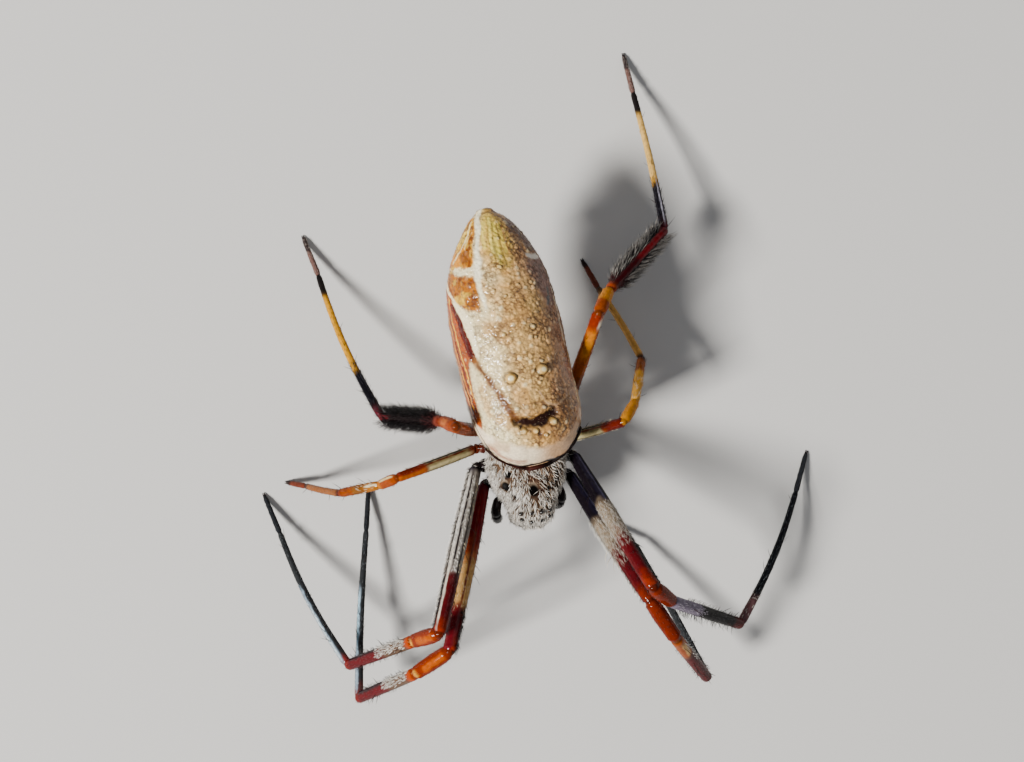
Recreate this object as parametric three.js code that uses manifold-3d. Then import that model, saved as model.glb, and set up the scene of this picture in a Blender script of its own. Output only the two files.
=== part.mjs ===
// Golden silk orb weaver, life size, standing on its eight foot tips.
// Millimetres, +Z up. The head points to -Y and the tail to +Y, and the spider's left side is at +X.
import * as THREE from "three";
import Module from "manifold-3d";

const wasm = await Module();
wasm.setup();

// Gap between two nodes that touch
const SEAM = 0.3;

// Body placing: the waist between the two halves of the body
const WAIST_HEIGHT = 8.0;
const WAIST_Y = 0.8;
const BODY_ROLL = 10.5;
const HEAD_TURN = -2.5;
const ABDOMEN_TURN = 3.4;

// Front half, called the cephalothorax, measured from the waist
const SHIELD_FRONT = -8.4;
const SHIELD_REAR = 0.1;
const SHIELD_HALF_WIDTH = 3.2;
const SHIELD_RIM_HEIGHT = -0.35;
const SHIELD_PEAK = 1.95;
const SHIELD_UNDERSIDE = 0.35;
const STERNUM_DEPTH = 1.9;
const STERNUM_HALF_WIDTH = 1.6;

// Hips from the waist: sideways, along the body, up, and radius, front pair to hind pair
const HIPS = [
  { side: 3.25, along: -4.7, up: -1.4, radius: 0.62 },
  { side: 3.8, along: -3.25, up: -1.3, radius: 0.6 },
  { side: 3.7, along: -1.75, up: -1.2, radius: 0.5 },
  { side: 2.95, along: -0.35, up: -1.1, radius: 0.56 },
];

// How far the first joint of a leg stands out from its hip
const RIGHT_HIP_REACH = 0.15;
const LEFT_HIP_REACH = 0.4;

// Abdomen, measured from the waist
const ABDOMEN_FRONT = -3.0;
const ABDOMEN_TAIL = 16.9;
const ABDOMEN_HALF_WIDTH = 4.32;
const ABDOMEN_BELLY = 0.3;
const ABDOMEN_BACK = 8.55;
const ABDOMEN_SIDE_SHIFT = -0.45;
const ABDOMEN_BEND = -0.18;

// Leg thickness: radii at the start, middle and end of each segment
const LEG_RADII = [
  { femur: [0.5, 0.64, 0.56], patella: [0.6, 0.56], tibia: [0.5, 0.5, 0.46], shin: [0.36, 0.3, 0.26] },
  { femur: [0.5, 0.64, 0.56], patella: [0.6, 0.56], tibia: [0.5, 0.5, 0.46], shin: [0.36, 0.3, 0.26] },
  { femur: [0.4, 0.42, 0.38], patella: [0.42, 0.4], tibia: [0.36, 0.36, 0.34], shin: [0.29, 0.27, 0.25] },
  { femur: [0.45, 0.53, 0.48], patella: [0.5, 0.46], tibia: [0.46, 0.47, 0.42], shin: [0.34, 0.28, 0.26] },
];
const FOOT_RADIUS = 0.25;
const FOOT_TIP_RADIUS = 0.2;
const FOOT_HEIGHT = 0.16;

// Pose: the places of each leg's joints, from knee to foot tip
const POSE = {
  right_leg_1: [
    [-8.4, -15.3, 14.4], [-11.3, -16.9, 12.9], [-16.6, -19.8, 4.7],
    [-14.1, -6.7, 1.4], [-13.4, -3.2],
  ],
  right_leg_2: [
    [-8.9, -13.4, 16.7], [-11.0, -14.1, 14.4], [-16.9, -16.7, 6.2],
    [-21.2, -5.8, 1.4], [-22.1, -2.7],
  ],
  right_leg_3: [
    [-10.4, -1.7, 12.0], [-11.9, -2.2, 10.4], [-15.3, -2.6, 7.8],
    [-18.4, -2.2, 1.6], [-20.0, -1.8],
  ],
  right_leg_4: [
    [-5.3, 1.9, 16.9], [-6.2, 2.3, 14.7], [-11.1, 2.9, 7.0],
    [-14.7, 14.9, 1.4], [-15.5, 18.1],
  ],
  left_leg_1: [
    [7.5, -13.9, 13.9], [9.1, -17.3, 13.3], [11.9, -22.5, 5.4],
    [8.0, -11.4, 1.4], [5.6, -8.8],
  ],
  left_leg_2: [
    [7.7, -12.5, 16.6], [9.1, -14.2, 14.2], [15.1, -18.3, 6.7],
    [22.0, -9.1, 1.4], [23.5, -6.2],
  ],
  left_leg_3: [
    [7.75, -0.15, 11.3], [9.0, 1.1, 9.6], [10.35, 4.3, 6.3],
    [8.1, 10.4, 1.5], [7.3, 12.7],
  ],
  left_leg_4: [
    [6.9, 8.6, 13.5], [8.1, 10.2, 11.7], [13.8, 14.3, 5.7],
    [13.4, 25.9, 1.4], [13.2, 29.1],
  ],
};

// How far each shin bows outward
const SHIN_BOW = {
  right_leg_1: 0.15,
  right_leg_2: 0.4,
  right_leg_3: 0.1,
  right_leg_4: 0.4,
  left_leg_1: 0.1,
  left_leg_2: 0.4,
  left_leg_3: 0.1,
  left_leg_4: 0.1,
};

// Hair brushes round the tibiae of the hind legs
const BRUSH_ROWS = 6;
const BRUSH_RINGS = 4;
const BRUSH_FROM = 0.12;
const BRUSH_TO = 0.8;
const BRUSH_LOCK_LENGTH = 1.55;
const BRUSH_LOCK_WIDTH = 0.36;
const BRUSH_LOCK_THICKNESS = 0.25;
const BRUSH_SEED = 7;
const BRUSH_SIDES = 4;
const BRUSH_ROOT_DEPTH = 0.2;
const BRUSH_LEAN = 0.45;

// Jaws and fangs, measured from the shield's front: sideways, along the body, up
const JAW_LINE = [[0.72, 1.35, -0.3], [0.8, 0.75, -1.6], [0.7, 0.85, -3.1]];
const JAW_RADII = [0.6, 0.62, 0.44];
const FANG_LINE = [[0.7, 0.85, -3.1], [0.66, 0.95, -3.4], [0.42, 1.75, -3.5]];
const FANG_RADII = [0.34, 0.28, 0.14];

// Feelers, from their roots beside the jaws over the knee to the tip
const PALP_LINE = [
  [1.75, 2.7, -1.25], [2.45, 2.35, -0.95], [2.75, 1.5, -1.0],
  [2.6, 0.85, -1.7], [2.25, 0.7, -3.0], [1.9, 0.8, -4.1],
];
const PALP_RADII = [0.3, 0.38, 0.42, 0.42, 0.36, 0.2];
const PALP_SETBACK = { right: 0, left: 0.5 };

// The waist, measured from its own place
const WAIST_LINE = [[0, -1.1, -0.35], [0, 0.25, -0.15], [0, 1.35, 0.5], [0, 2.2, 1.4]];
const WAIST_RADII = [0.55, 0.5, 0.5, 0.6];

// Silk nozzles under the tail: sideways, along the body, radius
const NOZZLE_PLACE = 0.83;
const NOZZLE_LENGTH = 1.25;
const NOZZLES = [[-0.36, -0.32, 0.42], [0.36, -0.32, 0.42], [-0.3, 0.4, 0.36], [0.3, 0.4, 0.36]];

// Eyes: four in a square on the brow and a pair at each side, measured from the shield's front
const EYE_RADIUS = 0.22;
const EYE_LIFT = 0.14;
const EYE_DOME = 0.08;
const EYE_MOUND_EDGE = 0.06;
const EYE_MOUND_DEPTH = 0.16;
const EYE_MOUND_TOP = 0.02;
const BROW_EYES = [[-0.37, 0.5], [0.37, 0.5], [0.42, 1.2], [-0.42, 1.2]];
const SIDE_EYES = [[1.12, 0.75], [1.2, 1.25]];

// Material slots
const slots = {
  shield_coat: { color: 0xb9a48c, roughness: 0.8, metalness: 0 },
  abdomen_skin: { color: 0xd9cbb0, roughness: 0.45, metalness: 0 },
  joint_skin: { color: 0x5a3326, roughness: 0.6, metalness: 0 },
  dark_shell: { color: 0x140d0c, roughness: 0.35, metalness: 0 },
  eye_black: { color: 0x050505, roughness: 0.08, metalness: 0 },
  femur_shell: { color: 0x6b1f16, roughness: 0.45, metalness: 0 },
  tibia_shell: { color: 0x7c2416, roughness: 0.45, metalness: 0 },
  shin_shell: { color: 0x3a3230, roughness: 0.4, metalness: 0 },
};
const materials = {};
for (const [name, look] of Object.entries(slots)) {
  materials[name] = new THREE.MeshStandardMaterial({ ...look, name });
}

// A closed surface through rings of points, capped by a fan at each end
function closedLoft(rings) {
  const sides = rings[0].length;
  const places = [];
  const triangles = [];
  const first = new THREE.Vector3();
  const last = new THREE.Vector3();
  for (const ring of rings) {
    for (const point of ring) {
      places.push(point.x, point.y, point.z);
    }
  }
  rings[0].forEach((point) => first.addScaledVector(point, 1 / sides));
  rings.at(-1).forEach((point) => last.addScaledVector(point, 1 / sides));
  places.push(first.x, first.y, first.z, last.x, last.y, last.z);
  const firstIndex = rings.length * sides;
  for (let r = 0; r < rings.length - 1; r++) {
    for (let s = 0; s < sides; s++) {
      const a = r * sides + s;
      const b = r * sides + ((s + 1) % sides);
      triangles.push(a, b, a + sides, b, b + sides, a + sides);
    }
  }
  const end = (rings.length - 1) * sides;
  for (let s = 0; s < sides; s++) {
    const next = (s + 1) % sides;
    triangles.push(firstIndex, next, s, firstIndex + 1, end + s, end + next);
  }
  const solid = new wasm.Manifold(
    new wasm.Mesh({
      numProp: 3,
      vertProperties: new Float32Array(places),
      triVerts: new Uint32Array(triangles),
    }),
  );
  if (solid.volume() > 0) {
    return solid;
  }
  const turned = [];
  for (let t = 0; t < triangles.length; t += 3) {
    turned.push(triangles[t], triangles[t + 2], triangles[t + 1]);
  }
  return new wasm.Manifold(
    new wasm.Mesh({
      numProp: 3,
      vertProperties: new Float32Array(places),
      triVerts: new Uint32Array(turned),
    }),
  );
}

// A ring of points round a centre, wide along one direction and tall along another
function ringAround(centre, wide, tall, wideRadius, tallRadius, sides) {
  const ring = [];
  for (let s = 0; s < sides; s++) {
    const angle = (s / sides) * 2 * Math.PI;
    const point = centre.clone();
    point.addScaledVector(wide, wideRadius * Math.cos(angle));
    point.addScaledVector(tall, tallRadius * Math.sin(angle));
    ring.push(point);
  }
  return ring;
}

// A round limb along a line of points, with a rounded end at each side
function limb(points, radii, sides, grow = 0) {
  const rings = [];
  const capSteps = [0.96, 0.62];
  const count = points.length;
  const directions = points.map((point, i) => {
    const before = points[Math.max(0, i - 1)];
    const after = points[Math.min(count - 1, i + 1)];
    return after.clone().sub(before).normalize();
  });
  let wide = new THREE.Vector3(0, 0, 1).cross(directions[0]);
  if (wide.length() < 0.2) {
    wide = new THREE.Vector3(1, 0, 0).cross(directions[0]);
  }
  const place = (centre, direction, radius) => {
    wide.addScaledVector(direction, -wide.dot(direction)).normalize();
    const tall = direction.clone().cross(wide);
    rings.push(ringAround(centre, wide, tall, radius, radius, sides));
  };
  const startRadius = radii[0] + grow;
  for (const step of capSteps) {
    const centre = points[0].clone().addScaledVector(directions[0], -startRadius * step);
    place(centre, directions[0], startRadius * Math.sqrt(1 - step * step));
  }
  for (let i = 0; i < count; i++) {
    place(points[i], directions[i], radii[i] + grow);
  }
  const endRadius = radii[count - 1] + grow;
  for (const step of capSteps.slice().reverse()) {
    const centre = points[count - 1].clone().addScaledVector(directions[count - 1], endRadius * step);
    place(centre, directions[count - 1], endRadius * Math.sqrt(1 - step * step));
  }
  return closedLoft(rings);
}

// Smooth step between two edges
function blend(from, to, value) {
  const t = Math.min(1, Math.max(0, (value - from) / (to - from)));
  return t * t * (3 - 2 * t);
}

// A value read off a short table of pairs, in straight steps between its rows
function profile(table, at) {
  if (at <= table[0][0]) {
    return table[0][1];
  }
  for (let i = 1; i < table.length; i++) {
    if (at <= table[i][0]) {
      const [x0, y0] = table[i - 1];
      const [x1, y1] = table[i];
      return y0 + ((y1 - y0) * (at - x0)) / (x1 - x0);
    }
  }
  return table.at(-1)[1];
}

// The largest closed body of a solid
function largest(solid) {
  const bodies = solid.decompose();
  return bodies.reduce((best, body) => (body.volume() > best.volume() ? body : best));
}

function joined(solids) {
  return solids.reduce((whole, piece) => whole.add(piece));
}

function transformed(solid, matrix) {
  return solid.transform(matrix.elements);
}

// Repeatable random numbers from 0 to 1
function randomFrom(seed) {
  let state = seed;
  return () => {
    state = (state * 16807) % 2147483647;
    return state / 2147483647;
  };
}

// Placing of the two halves of the body
function bodyMatrix(turn) {
  const degrees = Math.PI / 180;
  const place = new THREE.Matrix4().makeTranslation(0, WAIST_Y, WAIST_HEIGHT);
  place.multiply(new THREE.Matrix4().makeRotationY(BODY_ROLL * degrees));
  place.multiply(new THREE.Matrix4().makeRotationZ(turn * degrees));
  return place;
}
const headMatrix = bodyMatrix(HEAD_TURN);
const abdomenMatrix = bodyMatrix(ABDOMEN_TURN);

function onHead(x, y, z) {
  return new THREE.Vector3(x, y, z).applyMatrix4(headMatrix);
}

// Shield outline: share of the half width and of the peak height along its length, front to rear
const SHIELD_WIDTH_TABLE = [
  [0, 0.34], [0.03, 0.47], [0.08, 0.55], [0.16, 0.61], [0.26, 0.7], [0.38, 0.87],
  [0.5, 0.97], [0.62, 1], [0.76, 0.94], [0.88, 0.76], [0.96, 0.52], [1, 0.3],
];
const SHIELD_HEIGHT_TABLE = [
  [0, 0.45], [0.04, 0.72], [0.12, 0.9], [0.22, 1], [0.36, 0.98], [0.5, 0.78],
  [0.66, 0.66], [0.8, 0.56], [0.92, 0.34], [1, 0.08],
];
function shieldHalfWidth(share) {
  return SHIELD_HALF_WIDTH * profile(SHIELD_WIDTH_TABLE, share);
}
function shieldTop(share, sideShare) {
  const crown = SHIELD_PEAK * profile(SHIELD_HEIGHT_TABLE, share);
  const dome = Math.sqrt(Math.max(0, 1 - Math.abs(sideShare) ** 2.3));
  // The furrow behind the raised head runs out and forward on both sides
  const furrowAt = 0.56 - 0.26 * Math.abs(sideShare);
  const furrow = 0.16 * Math.exp(-(((share - furrowAt) / 0.045) ** 2));
  const pit = 0.14 * Math.exp(-(((share - 0.62) / 0.05) ** 2) - (sideShare / 0.12) ** 2);
  return SHIELD_RIM_HEIGHT + crown * dome - (furrow + pit) * blend(1, 0.7, Math.abs(sideShare));
}

// The shield: a domed shell over the front half of the body
function shieldSolid(grow) {
  const rings = [];
  const steps = 20;
  const topSteps = 14;
  const underSteps = 4;
  for (let i = 0; i <= steps; i++) {
    const share = i / steps;
    const y = SHIELD_FRONT - grow + share * (SHIELD_REAR - SHIELD_FRONT + 2 * grow);
    const half = shieldHalfWidth(share) + grow;
    const ring = [];
    for (let s = 0; s <= topSteps; s++) {
      const sideShare = -Math.cos((s / topSteps) * Math.PI);
      const lift = grow * Math.sin((s / topSteps) * Math.PI);
      ring.push(new THREE.Vector3(sideShare * half, y, shieldTop(share, sideShare) + lift));
    }
    for (let s = 1; s < underSteps; s++) {
      const angle = (s / underSteps) * Math.PI;
      const z = SHIELD_RIM_HEIGHT - (SHIELD_UNDERSIDE + grow) * Math.sin(angle);
      ring.push(new THREE.Vector3(Math.cos(angle) * half, y, z));
    }
    rings.push(ring);
  }
  return closedLoft(rings);
}

// The breastplate between the legs, an oval block with a rounded keel
function sternumSolid(grow) {
  const rings = [];
  const steps = 8;
  const from = SHIELD_FRONT + 2.4;
  const to = SHIELD_REAR - 0.6;
  for (let i = 0; i <= steps; i++) {
    const share = i / steps;
    const swell = 0.35 + 0.65 * Math.sin(Math.PI * (0.08 + 0.84 * share)) ** 0.7;
    const y = from - grow + share * (to - from + 2 * grow);
    const centre = new THREE.Vector3(0, y, SHIELD_RIM_HEIGHT - 0.6);
    const wide = new THREE.Vector3(1, 0, 0);
    const tall = new THREE.Vector3(0, 0, 1);
    const deep = (STERNUM_DEPTH - 0.5) * swell + grow;
    rings.push(ringAround(centre, wide, tall, STERNUM_HALF_WIDTH * swell + grow, deep, 12));
  }
  return closedLoft(rings);
}

// One of the eight hip joints under the shield's edge
function coxa(pair, side, grow) {
  const hip = HIPS[pair];
  const start = new THREE.Vector3(side * 1.0, hip.along * 0.78 - 0.3, hip.up - 0.15);
  const end = new THREE.Vector3(side * (hip.side - 0.25), hip.along, hip.up);
  const middle = start.clone().lerp(end, 0.5);
  return limb([start, middle, end], [hip.radius * 0.75, hip.radius, hip.radius], 9, grow);
}

function cephalothorax(grow) {
  const pieces = [shieldSolid(grow), sternumSolid(grow)];
  for (let pair = 0; pair < 4; pair++) {
    for (const side of [-1, 1]) {
      pieces.push(coxa(pair, side, grow));
    }
  }
  return transformed(joined(pieces), headMatrix);
}

// Abdomen profile along its length, front to tail: share of width, belly height and back height
const ABDOMEN_WIDTH_TABLE = [
  [0, 0.3], [0.012, 0.48], [0.04, 0.68], [0.08, 0.82], [0.13, 0.93], [0.2, 0.99], [0.3, 1],
  [0.42, 0.995], [0.55, 1], [0.66, 0.97], [0.76, 0.88], [0.85, 0.72], [0.92, 0.52], [0.97, 0.34], [1, 0.16],
];
const ABDOMEN_BELLY_TABLE = [
  [0, 0.46], [0.012, 0.4], [0.04, 0.31], [0.08, 0.25], [0.13, 0.21], [0.19, 0.13], [0.26, 0.04], [0.36, 0],
  [0.6, 0], [0.72, 0.05], [0.82, 0.15], [0.9, 0.28], [0.96, 0.4], [1, 0.5],
];
const ABDOMEN_BACK_TABLE = [
  [0, 0.64], [0.012, 0.72], [0.04, 0.82], [0.08, 0.9], [0.14, 0.96], [0.22, 1], [0.5, 1],
  [0.64, 0.96], [0.76, 0.89], [0.86, 0.8], [0.94, 0.7], [0.98, 0.63], [1, 0.58],
];
function abdomenSection(share) {
  const height = ABDOMEN_BACK - ABDOMEN_BELLY;
  const belly = ABDOMEN_BELLY + height * profile(ABDOMEN_BELLY_TABLE, share);
  const back = ABDOMEN_BELLY + height * profile(ABDOMEN_BACK_TABLE, share);
  return {
    y: ABDOMEN_FRONT + share * (ABDOMEN_TAIL - ABDOMEN_FRONT),
    half: ABDOMEN_HALF_WIDTH * profile(ABDOMEN_WIDTH_TABLE, share),
    centre: (belly + back) / 2,
    tall: (back - belly) / 2,
  };
}
function abdomenPoint(share, angle, lift = 0) {
  const section = abdomenSection(share);
  const middle = ABDOMEN_SIDE_SHIFT + ABDOMEN_BEND * Math.sin(Math.PI * share);
  const x = middle + (section.half + lift) * Math.sin(angle);
  const z = section.centre + (section.tall + lift) * Math.cos(angle);
  return new THREE.Vector3(x, section.y, z);
}

function abdomenSolid(grow) {
  const rings = [];
  const sides = 28;
  const shares = [0, 0.006, 0.02, 0.04, 0.065];
  const middleRings = 18;
  for (let i = 1; i <= middleRings; i++) {
    shares.push(0.065 + (i / middleRings) * 0.885);
  }
  shares.push(0.975, 0.99, 1);
  shares.forEach((share, i) => {
    const ring = [];
    const endShift = i === 0 ? -grow : i === shares.length - 1 ? grow : 0;
    for (let s = 0; s < sides; s++) {
      const point = abdomenPoint(share, (s / sides) * 2 * Math.PI, grow);
      point.y += endShift;
      ring.push(point);
    }
    rings.push(ring);
  });
  return closedLoft(rings);
}

// A low round button on the back of the abdomen
function button(share, angle, radius, height) {
  const section = abdomenSection(share);
  const outward = new THREE.Vector3(Math.sin(angle) * section.tall, 0, Math.cos(angle) * section.half);
  outward.normalize();
  const wide = new THREE.Vector3(0, 1, 0);
  const tall = outward.clone().cross(wide);
  const rings = [];
  for (const [rise, spread] of [[-0.6, 1.05], [0.35, 0.92], [0.85, 0.5]]) {
    const centre = abdomenPoint(share, angle).addScaledVector(outward, rise * height);
    rings.push(ringAround(centre, wide, tall, radius * spread, radius * spread, 9));
  }
  return closedLoft(rings);
}

// Pairs of raised cream spots: place along the back, angle from the middle line, radius, height
const BUTTONS = [
  { share: 0.37, angle: 0.3, radius: 0.5, height: 0.3 },
  { share: 0.535, angle: 0.28, radius: 0.28, height: 0.2 },
  { share: 0.7, angle: 0.3, radius: 0.26, height: 0.16 },
  { share: 0.16, angle: 0.16, radius: 0.3, height: 0.2 },
];

function abdomen() {
  const pieces = [abdomenSolid(0)];
  for (const { share, angle, radius, height } of BUTTONS) {
    pieces.push(button(share, angle, radius, height), button(share, -angle, radius, height));
  }
  return transformed(joined(pieces), abdomenMatrix);
}

// The narrow waist from the shield's rear up into the belly's front
function waist(grow) {
  return limb(WAIST_LINE.map((place) => onHead(...place)), WAIST_RADII, 12, grow);
}

// The cluster of silk nozzles under the rear of the abdomen
function spinnerets() {
  const root = abdomenPoint(NOZZLE_PLACE, Math.PI);
  const nozzles = NOZZLES.map(([x, y, size]) => {
    const from = root.clone().add(new THREE.Vector3(x * 0.7, y * 0.7, 0.3));
    const middle = root.clone().add(new THREE.Vector3(x, y + 0.2, -0.44 * NOZZLE_LENGTH));
    const tip = root.clone().add(new THREE.Vector3(x * 0.75, y * 0.8 + 0.45, -NOZZLE_LENGTH));
    return limb([from, middle, tip], [size, size, size * 0.6], 8);
  });
  return transformed(joined(nozzles), abdomenMatrix);
}

// A line of places beside the head, on its right or its left side
function besideHead(line, side, setback = 0) {
  return line.map(([x, y, z]) => onHead(side * x, SHIELD_FRONT + setback + y, z));
}

// A jaw with its folded fang
function chelicera(side) {
  const jaw = limb(besideHead(JAW_LINE, side), JAW_RADII, 10);
  return jaw.add(limb(besideHead(FANG_LINE, side), FANG_RADII, 7));
}

// A feeler beside the jaws, bent down at its knee
function palp(word, side) {
  return limb(besideHead(PALP_LINE, side, PALP_SETBACK[word]), PALP_RADII, 10);
}

// A group of eyes: glossy domes on one low mound
function eyeGroup(places, grow) {
  const centres = places.map(([x, behind]) => {
    const y = SHIELD_FRONT + behind;
    const share = behind / (SHIELD_REAR - SHIELD_FRONT);
    return onHead(x, y, shieldTop(share, x / shieldHalfWidth(share)) + EYE_LIFT);
  });
  const origin = onHead(0, 0, 0);
  const across = onHead(1, 0, 0).sub(origin);
  const along = onHead(0, 1, 0).sub(origin);
  const lift = onHead(0, 0, 1).sub(origin);
  const pieces = centres.map((centre) => {
    const top = centre.clone().addScaledVector(lift, EYE_DOME);
    return limb([centre, top], [EYE_RADIUS, EYE_RADIUS * 0.9], 8, grow);
  });
  const middle = new THREE.Vector3();
  centres.forEach((centre) => middle.addScaledVector(centre, 1 / centres.length));
  const reach = (way) => Math.max(...centres.map((centre) => Math.abs(centre.clone().sub(middle).dot(way))));
  const wideRadius = reach(across) + EYE_MOUND_EDGE + grow;
  const longRadius = reach(along) + EYE_MOUND_EDGE + grow;
  const levels = [-EYE_MOUND_DEPTH - grow, EYE_MOUND_TOP + grow];
  const rings = levels.map((level) => {
    return ringAround(middle.clone().addScaledVector(lift, level), across, along, wideRadius, longRadius, 8);
  });
  return joined([...pieces, closedLoft(rings)]);
}

// Points and radii of one leg, hip first
function legLine(name) {
  const side = name.startsWith("left") ? 1 : -1;
  const pair = Number(name.at(-1)) - 1;
  const hip = HIPS[pair];
  const reach = side > 0 ? LEFT_HIP_REACH : RIGHT_HIP_REACH;
  const start = onHead(side * (hip.side + reach), hip.along, hip.up);
  const joints = POSE[name].map(([x, y, z]) => new THREE.Vector3(x, y, z ?? FOOT_HEIGHT));
  return { side, pair, bow: SHIN_BOW[name], joints: [start, ...joints] };
}

// Points along a segment that arches a little towards a direction
function arched(from, to, steps, arch, upward) {
  const points = [];
  for (let i = 0; i <= steps; i++) {
    const share = i / steps;
    const point = from.clone().lerp(to, share);
    points.push(point.addScaledVector(upward, arch * Math.sin(Math.PI * share)));
  }
  return points;
}

// A radius that swells from the start to the middle and narrows to the end
function swell([start, middle, end], share) {
  if (share < 0.4) {
    return start + (middle - start) * blend(0, 0.4, share);
  }
  return middle + (end - middle) * blend(0.4, 1, share);
}

const UP = new THREE.Vector3(0, 0, 1);
const LEG_SIDES = 10;
const SHIN_SIDES = 8;
const FEMUR_ARCH = 0.25;
const SHIN_LIFT = 0.2;

function femurSolid({ pair, side, joints }, grow) {
  const steps = 8;
  const outward = pair === 3 && side < 0 ? new THREE.Vector3(-1, 0, 0) : UP;
  const points = arched(joints[0], joints[1], steps, FEMUR_ARCH, outward);
  const radii = points.map((_, i) => swell(LEG_RADII[pair].femur, i / steps));
  return limb(points, radii, LEG_SIDES, grow);
}

function tibiaSolid({ pair, joints }, grow) {
  const steps = 6;
  const [, knee, mid, ankle] = joints;
  const { patella, tibia } = LEG_RADII[pair];
  const points = [knee, knee.clone().lerp(mid, 0.5), knee.clone().lerp(mid, 0.85)];
  const radii = [patella[0], patella[0], patella[1]];
  points.push(mid.clone());
  radii.push(tibia[0] * 0.86);
  for (let i = 1; i <= steps; i++) {
    const share = 0.06 + (0.94 * i) / steps;
    points.push(mid.clone().lerp(ankle, share));
    radii.push(swell(tibia, share));
  }
  return limb(points, radii, LEG_SIDES, grow);
}

// A flat tapered lock of hair, rooted inside the limb and bending over along it
function hairLock(root, along, outward, length) {
  const across = along.clone().cross(outward).normalize();
  const rings = [];
  const steps = [[0, 0.9], [0.45, 1], [0.8, 0.6], [1, 0.2]];
  for (const [share, size] of steps) {
    const lean = BRUSH_LEAN * (1 + share);
    const centre = root.clone();
    centre.addScaledVector(outward, length * share * Math.cos(lean));
    centre.addScaledVector(along, length * share * Math.sin(lean));
    const flat = outward.clone().multiplyScalar(Math.sin(lean));
    flat.addScaledVector(along, -Math.cos(lean));
    const width = BRUSH_LOCK_WIDTH * size;
    const thickness = BRUSH_LOCK_THICKNESS * size;
    rings.push(ringAround(centre, across, flat, width, thickness, BRUSH_SIDES));
  }
  return closedLoft(rings);
}

// The bottle brush of hair locks round a hind tibia, fullest past its middle
function brush({ joints }, seed) {
  const [, , mid, ankle] = joints;
  const along = ankle.clone().sub(mid).normalize();
  const level = along.clone().cross(UP).normalize();
  const raised = level.clone().cross(along);
  const random = randomFrom(seed);
  const locks = [];
  for (let ring = 0; ring < BRUSH_RINGS; ring++) {
    const step = ring / (BRUSH_RINGS - 1);
    for (let row = 0; row < BRUSH_ROWS; row++) {
      const share = BRUSH_FROM + (BRUSH_TO - BRUSH_FROM) * step + (random() - 0.5) * 0.05;
      const angle = ((row + (ring % 2) / 2 + (random() - 0.5) * 0.4) / BRUSH_ROWS) * 2 * Math.PI;
      const outward = level.clone().multiplyScalar(Math.cos(angle));
      outward.addScaledVector(raised, Math.sin(angle));
      const root = mid.clone().lerp(ankle, share).addScaledVector(outward, BRUSH_ROOT_DEPTH);
      const fullness = 0.75 + 0.35 * Math.sin(Math.PI * step);
      locks.push(hairLock(root, along, outward, BRUSH_LOCK_LENGTH * fullness * (0.9 + 0.2 * random())));
    }
  }
  return joined(locks);
}

function shinSolid({ pair, bow, joints }) {
  const steps = 7;
  const [, , , ankle, heel, toe] = joints;
  const { shin } = LEG_RADII[pair];
  const outward = new THREE.Vector3((ankle.x + heel.x) / 2, 0, 0).normalize();
  const points = arched(ankle, heel, steps, bow, outward);
  points.forEach((point, i) => (point.z += SHIN_LIFT * Math.sin((Math.PI * i) / steps)));
  const radii = points.map((_, i) => swell(shin, i / steps));
  for (const share of [0.15, 0.55, 1]) {
    points.push(heel.clone().lerp(toe, share));
    radii.push(FOOT_RADIUS + (FOOT_TIP_RADIUS - FOOT_RADIUS) * share);
  }
  const solid = limb(points, radii, SHIN_SIDES);
  return solid.trimByPlane([0, 0, 1], 0);
}

// Nodes of the whole animal
const solids = new Map();
const slotOf = new Map();
function node(name, slot, solid) {
  solids.set(name, largest(solid));
  slotOf.set(name, slot);
}

const eyePlaces = {
  eyes_brow: BROW_EYES,
  eyes_right: SIDE_EYES.map(([x, behind]) => [-x, behind]),
  eyes_left: SIDE_EYES,
};
const eyeSockets = joined(Object.values(eyePlaces).map((places) => eyeGroup(places, SEAM)));
const shieldGrown = cephalothorax(SEAM);
const abdomenGrown = transformed(abdomenSolid(SEAM), abdomenMatrix);
node("cephalothorax", "shield_coat", cephalothorax(0).subtract(eyeSockets));
node("abdomen", "abdomen_skin", abdomen());
node("waist", "joint_skin", waist(0).subtract(shieldGrown).subtract(abdomenGrown));
node("spinnerets", "joint_skin", spinnerets().subtract(abdomenGrown));

for (const [word, side] of [["right", -1], ["left", 1]]) {
  node("jaw_" + word, "dark_shell", chelicera(side).subtract(shieldGrown));
  node("palp_" + word, "dark_shell", palp(word, side).subtract(shieldGrown));
}

for (const [name, places] of Object.entries(eyePlaces)) {
  node(name, "eye_black", eyeGroup(places, 0));
}

for (const name of Object.keys(POSE)) {
  const line = legLine(name);
  const femur = femurSolid(line, 0).subtract(shieldGrown);
  const femurGrown = femurSolid(line, SEAM);
  const tibiaGrown = tibiaSolid(line, SEAM);
  node(name + "_femur", "femur_shell", femur);
  const tibia = tibiaSolid(line, 0).subtract(femurGrown);
  const shagged = line.pair === 3 ? tibia.add(brush(line, BRUSH_SEED + line.side)) : tibia;
  node(name + "_tibia", "tibia_shell", shagged);
  node(name + "_shin", "shin_shell", shinSolid(line).subtract(tibiaGrown));
}

// The whole model is centred over its own outline
const box = new THREE.Box3();
for (const solid of solids.values()) {
  const { min, max } = solid.boundingBox();
  box.expandByPoint(new THREE.Vector3(...min));
  box.expandByPoint(new THREE.Vector3(...max));
}
const shift = [-(box.min.x + box.max.x) / 2, -(box.min.y + box.max.y) / 2, -box.min.z];

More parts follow.
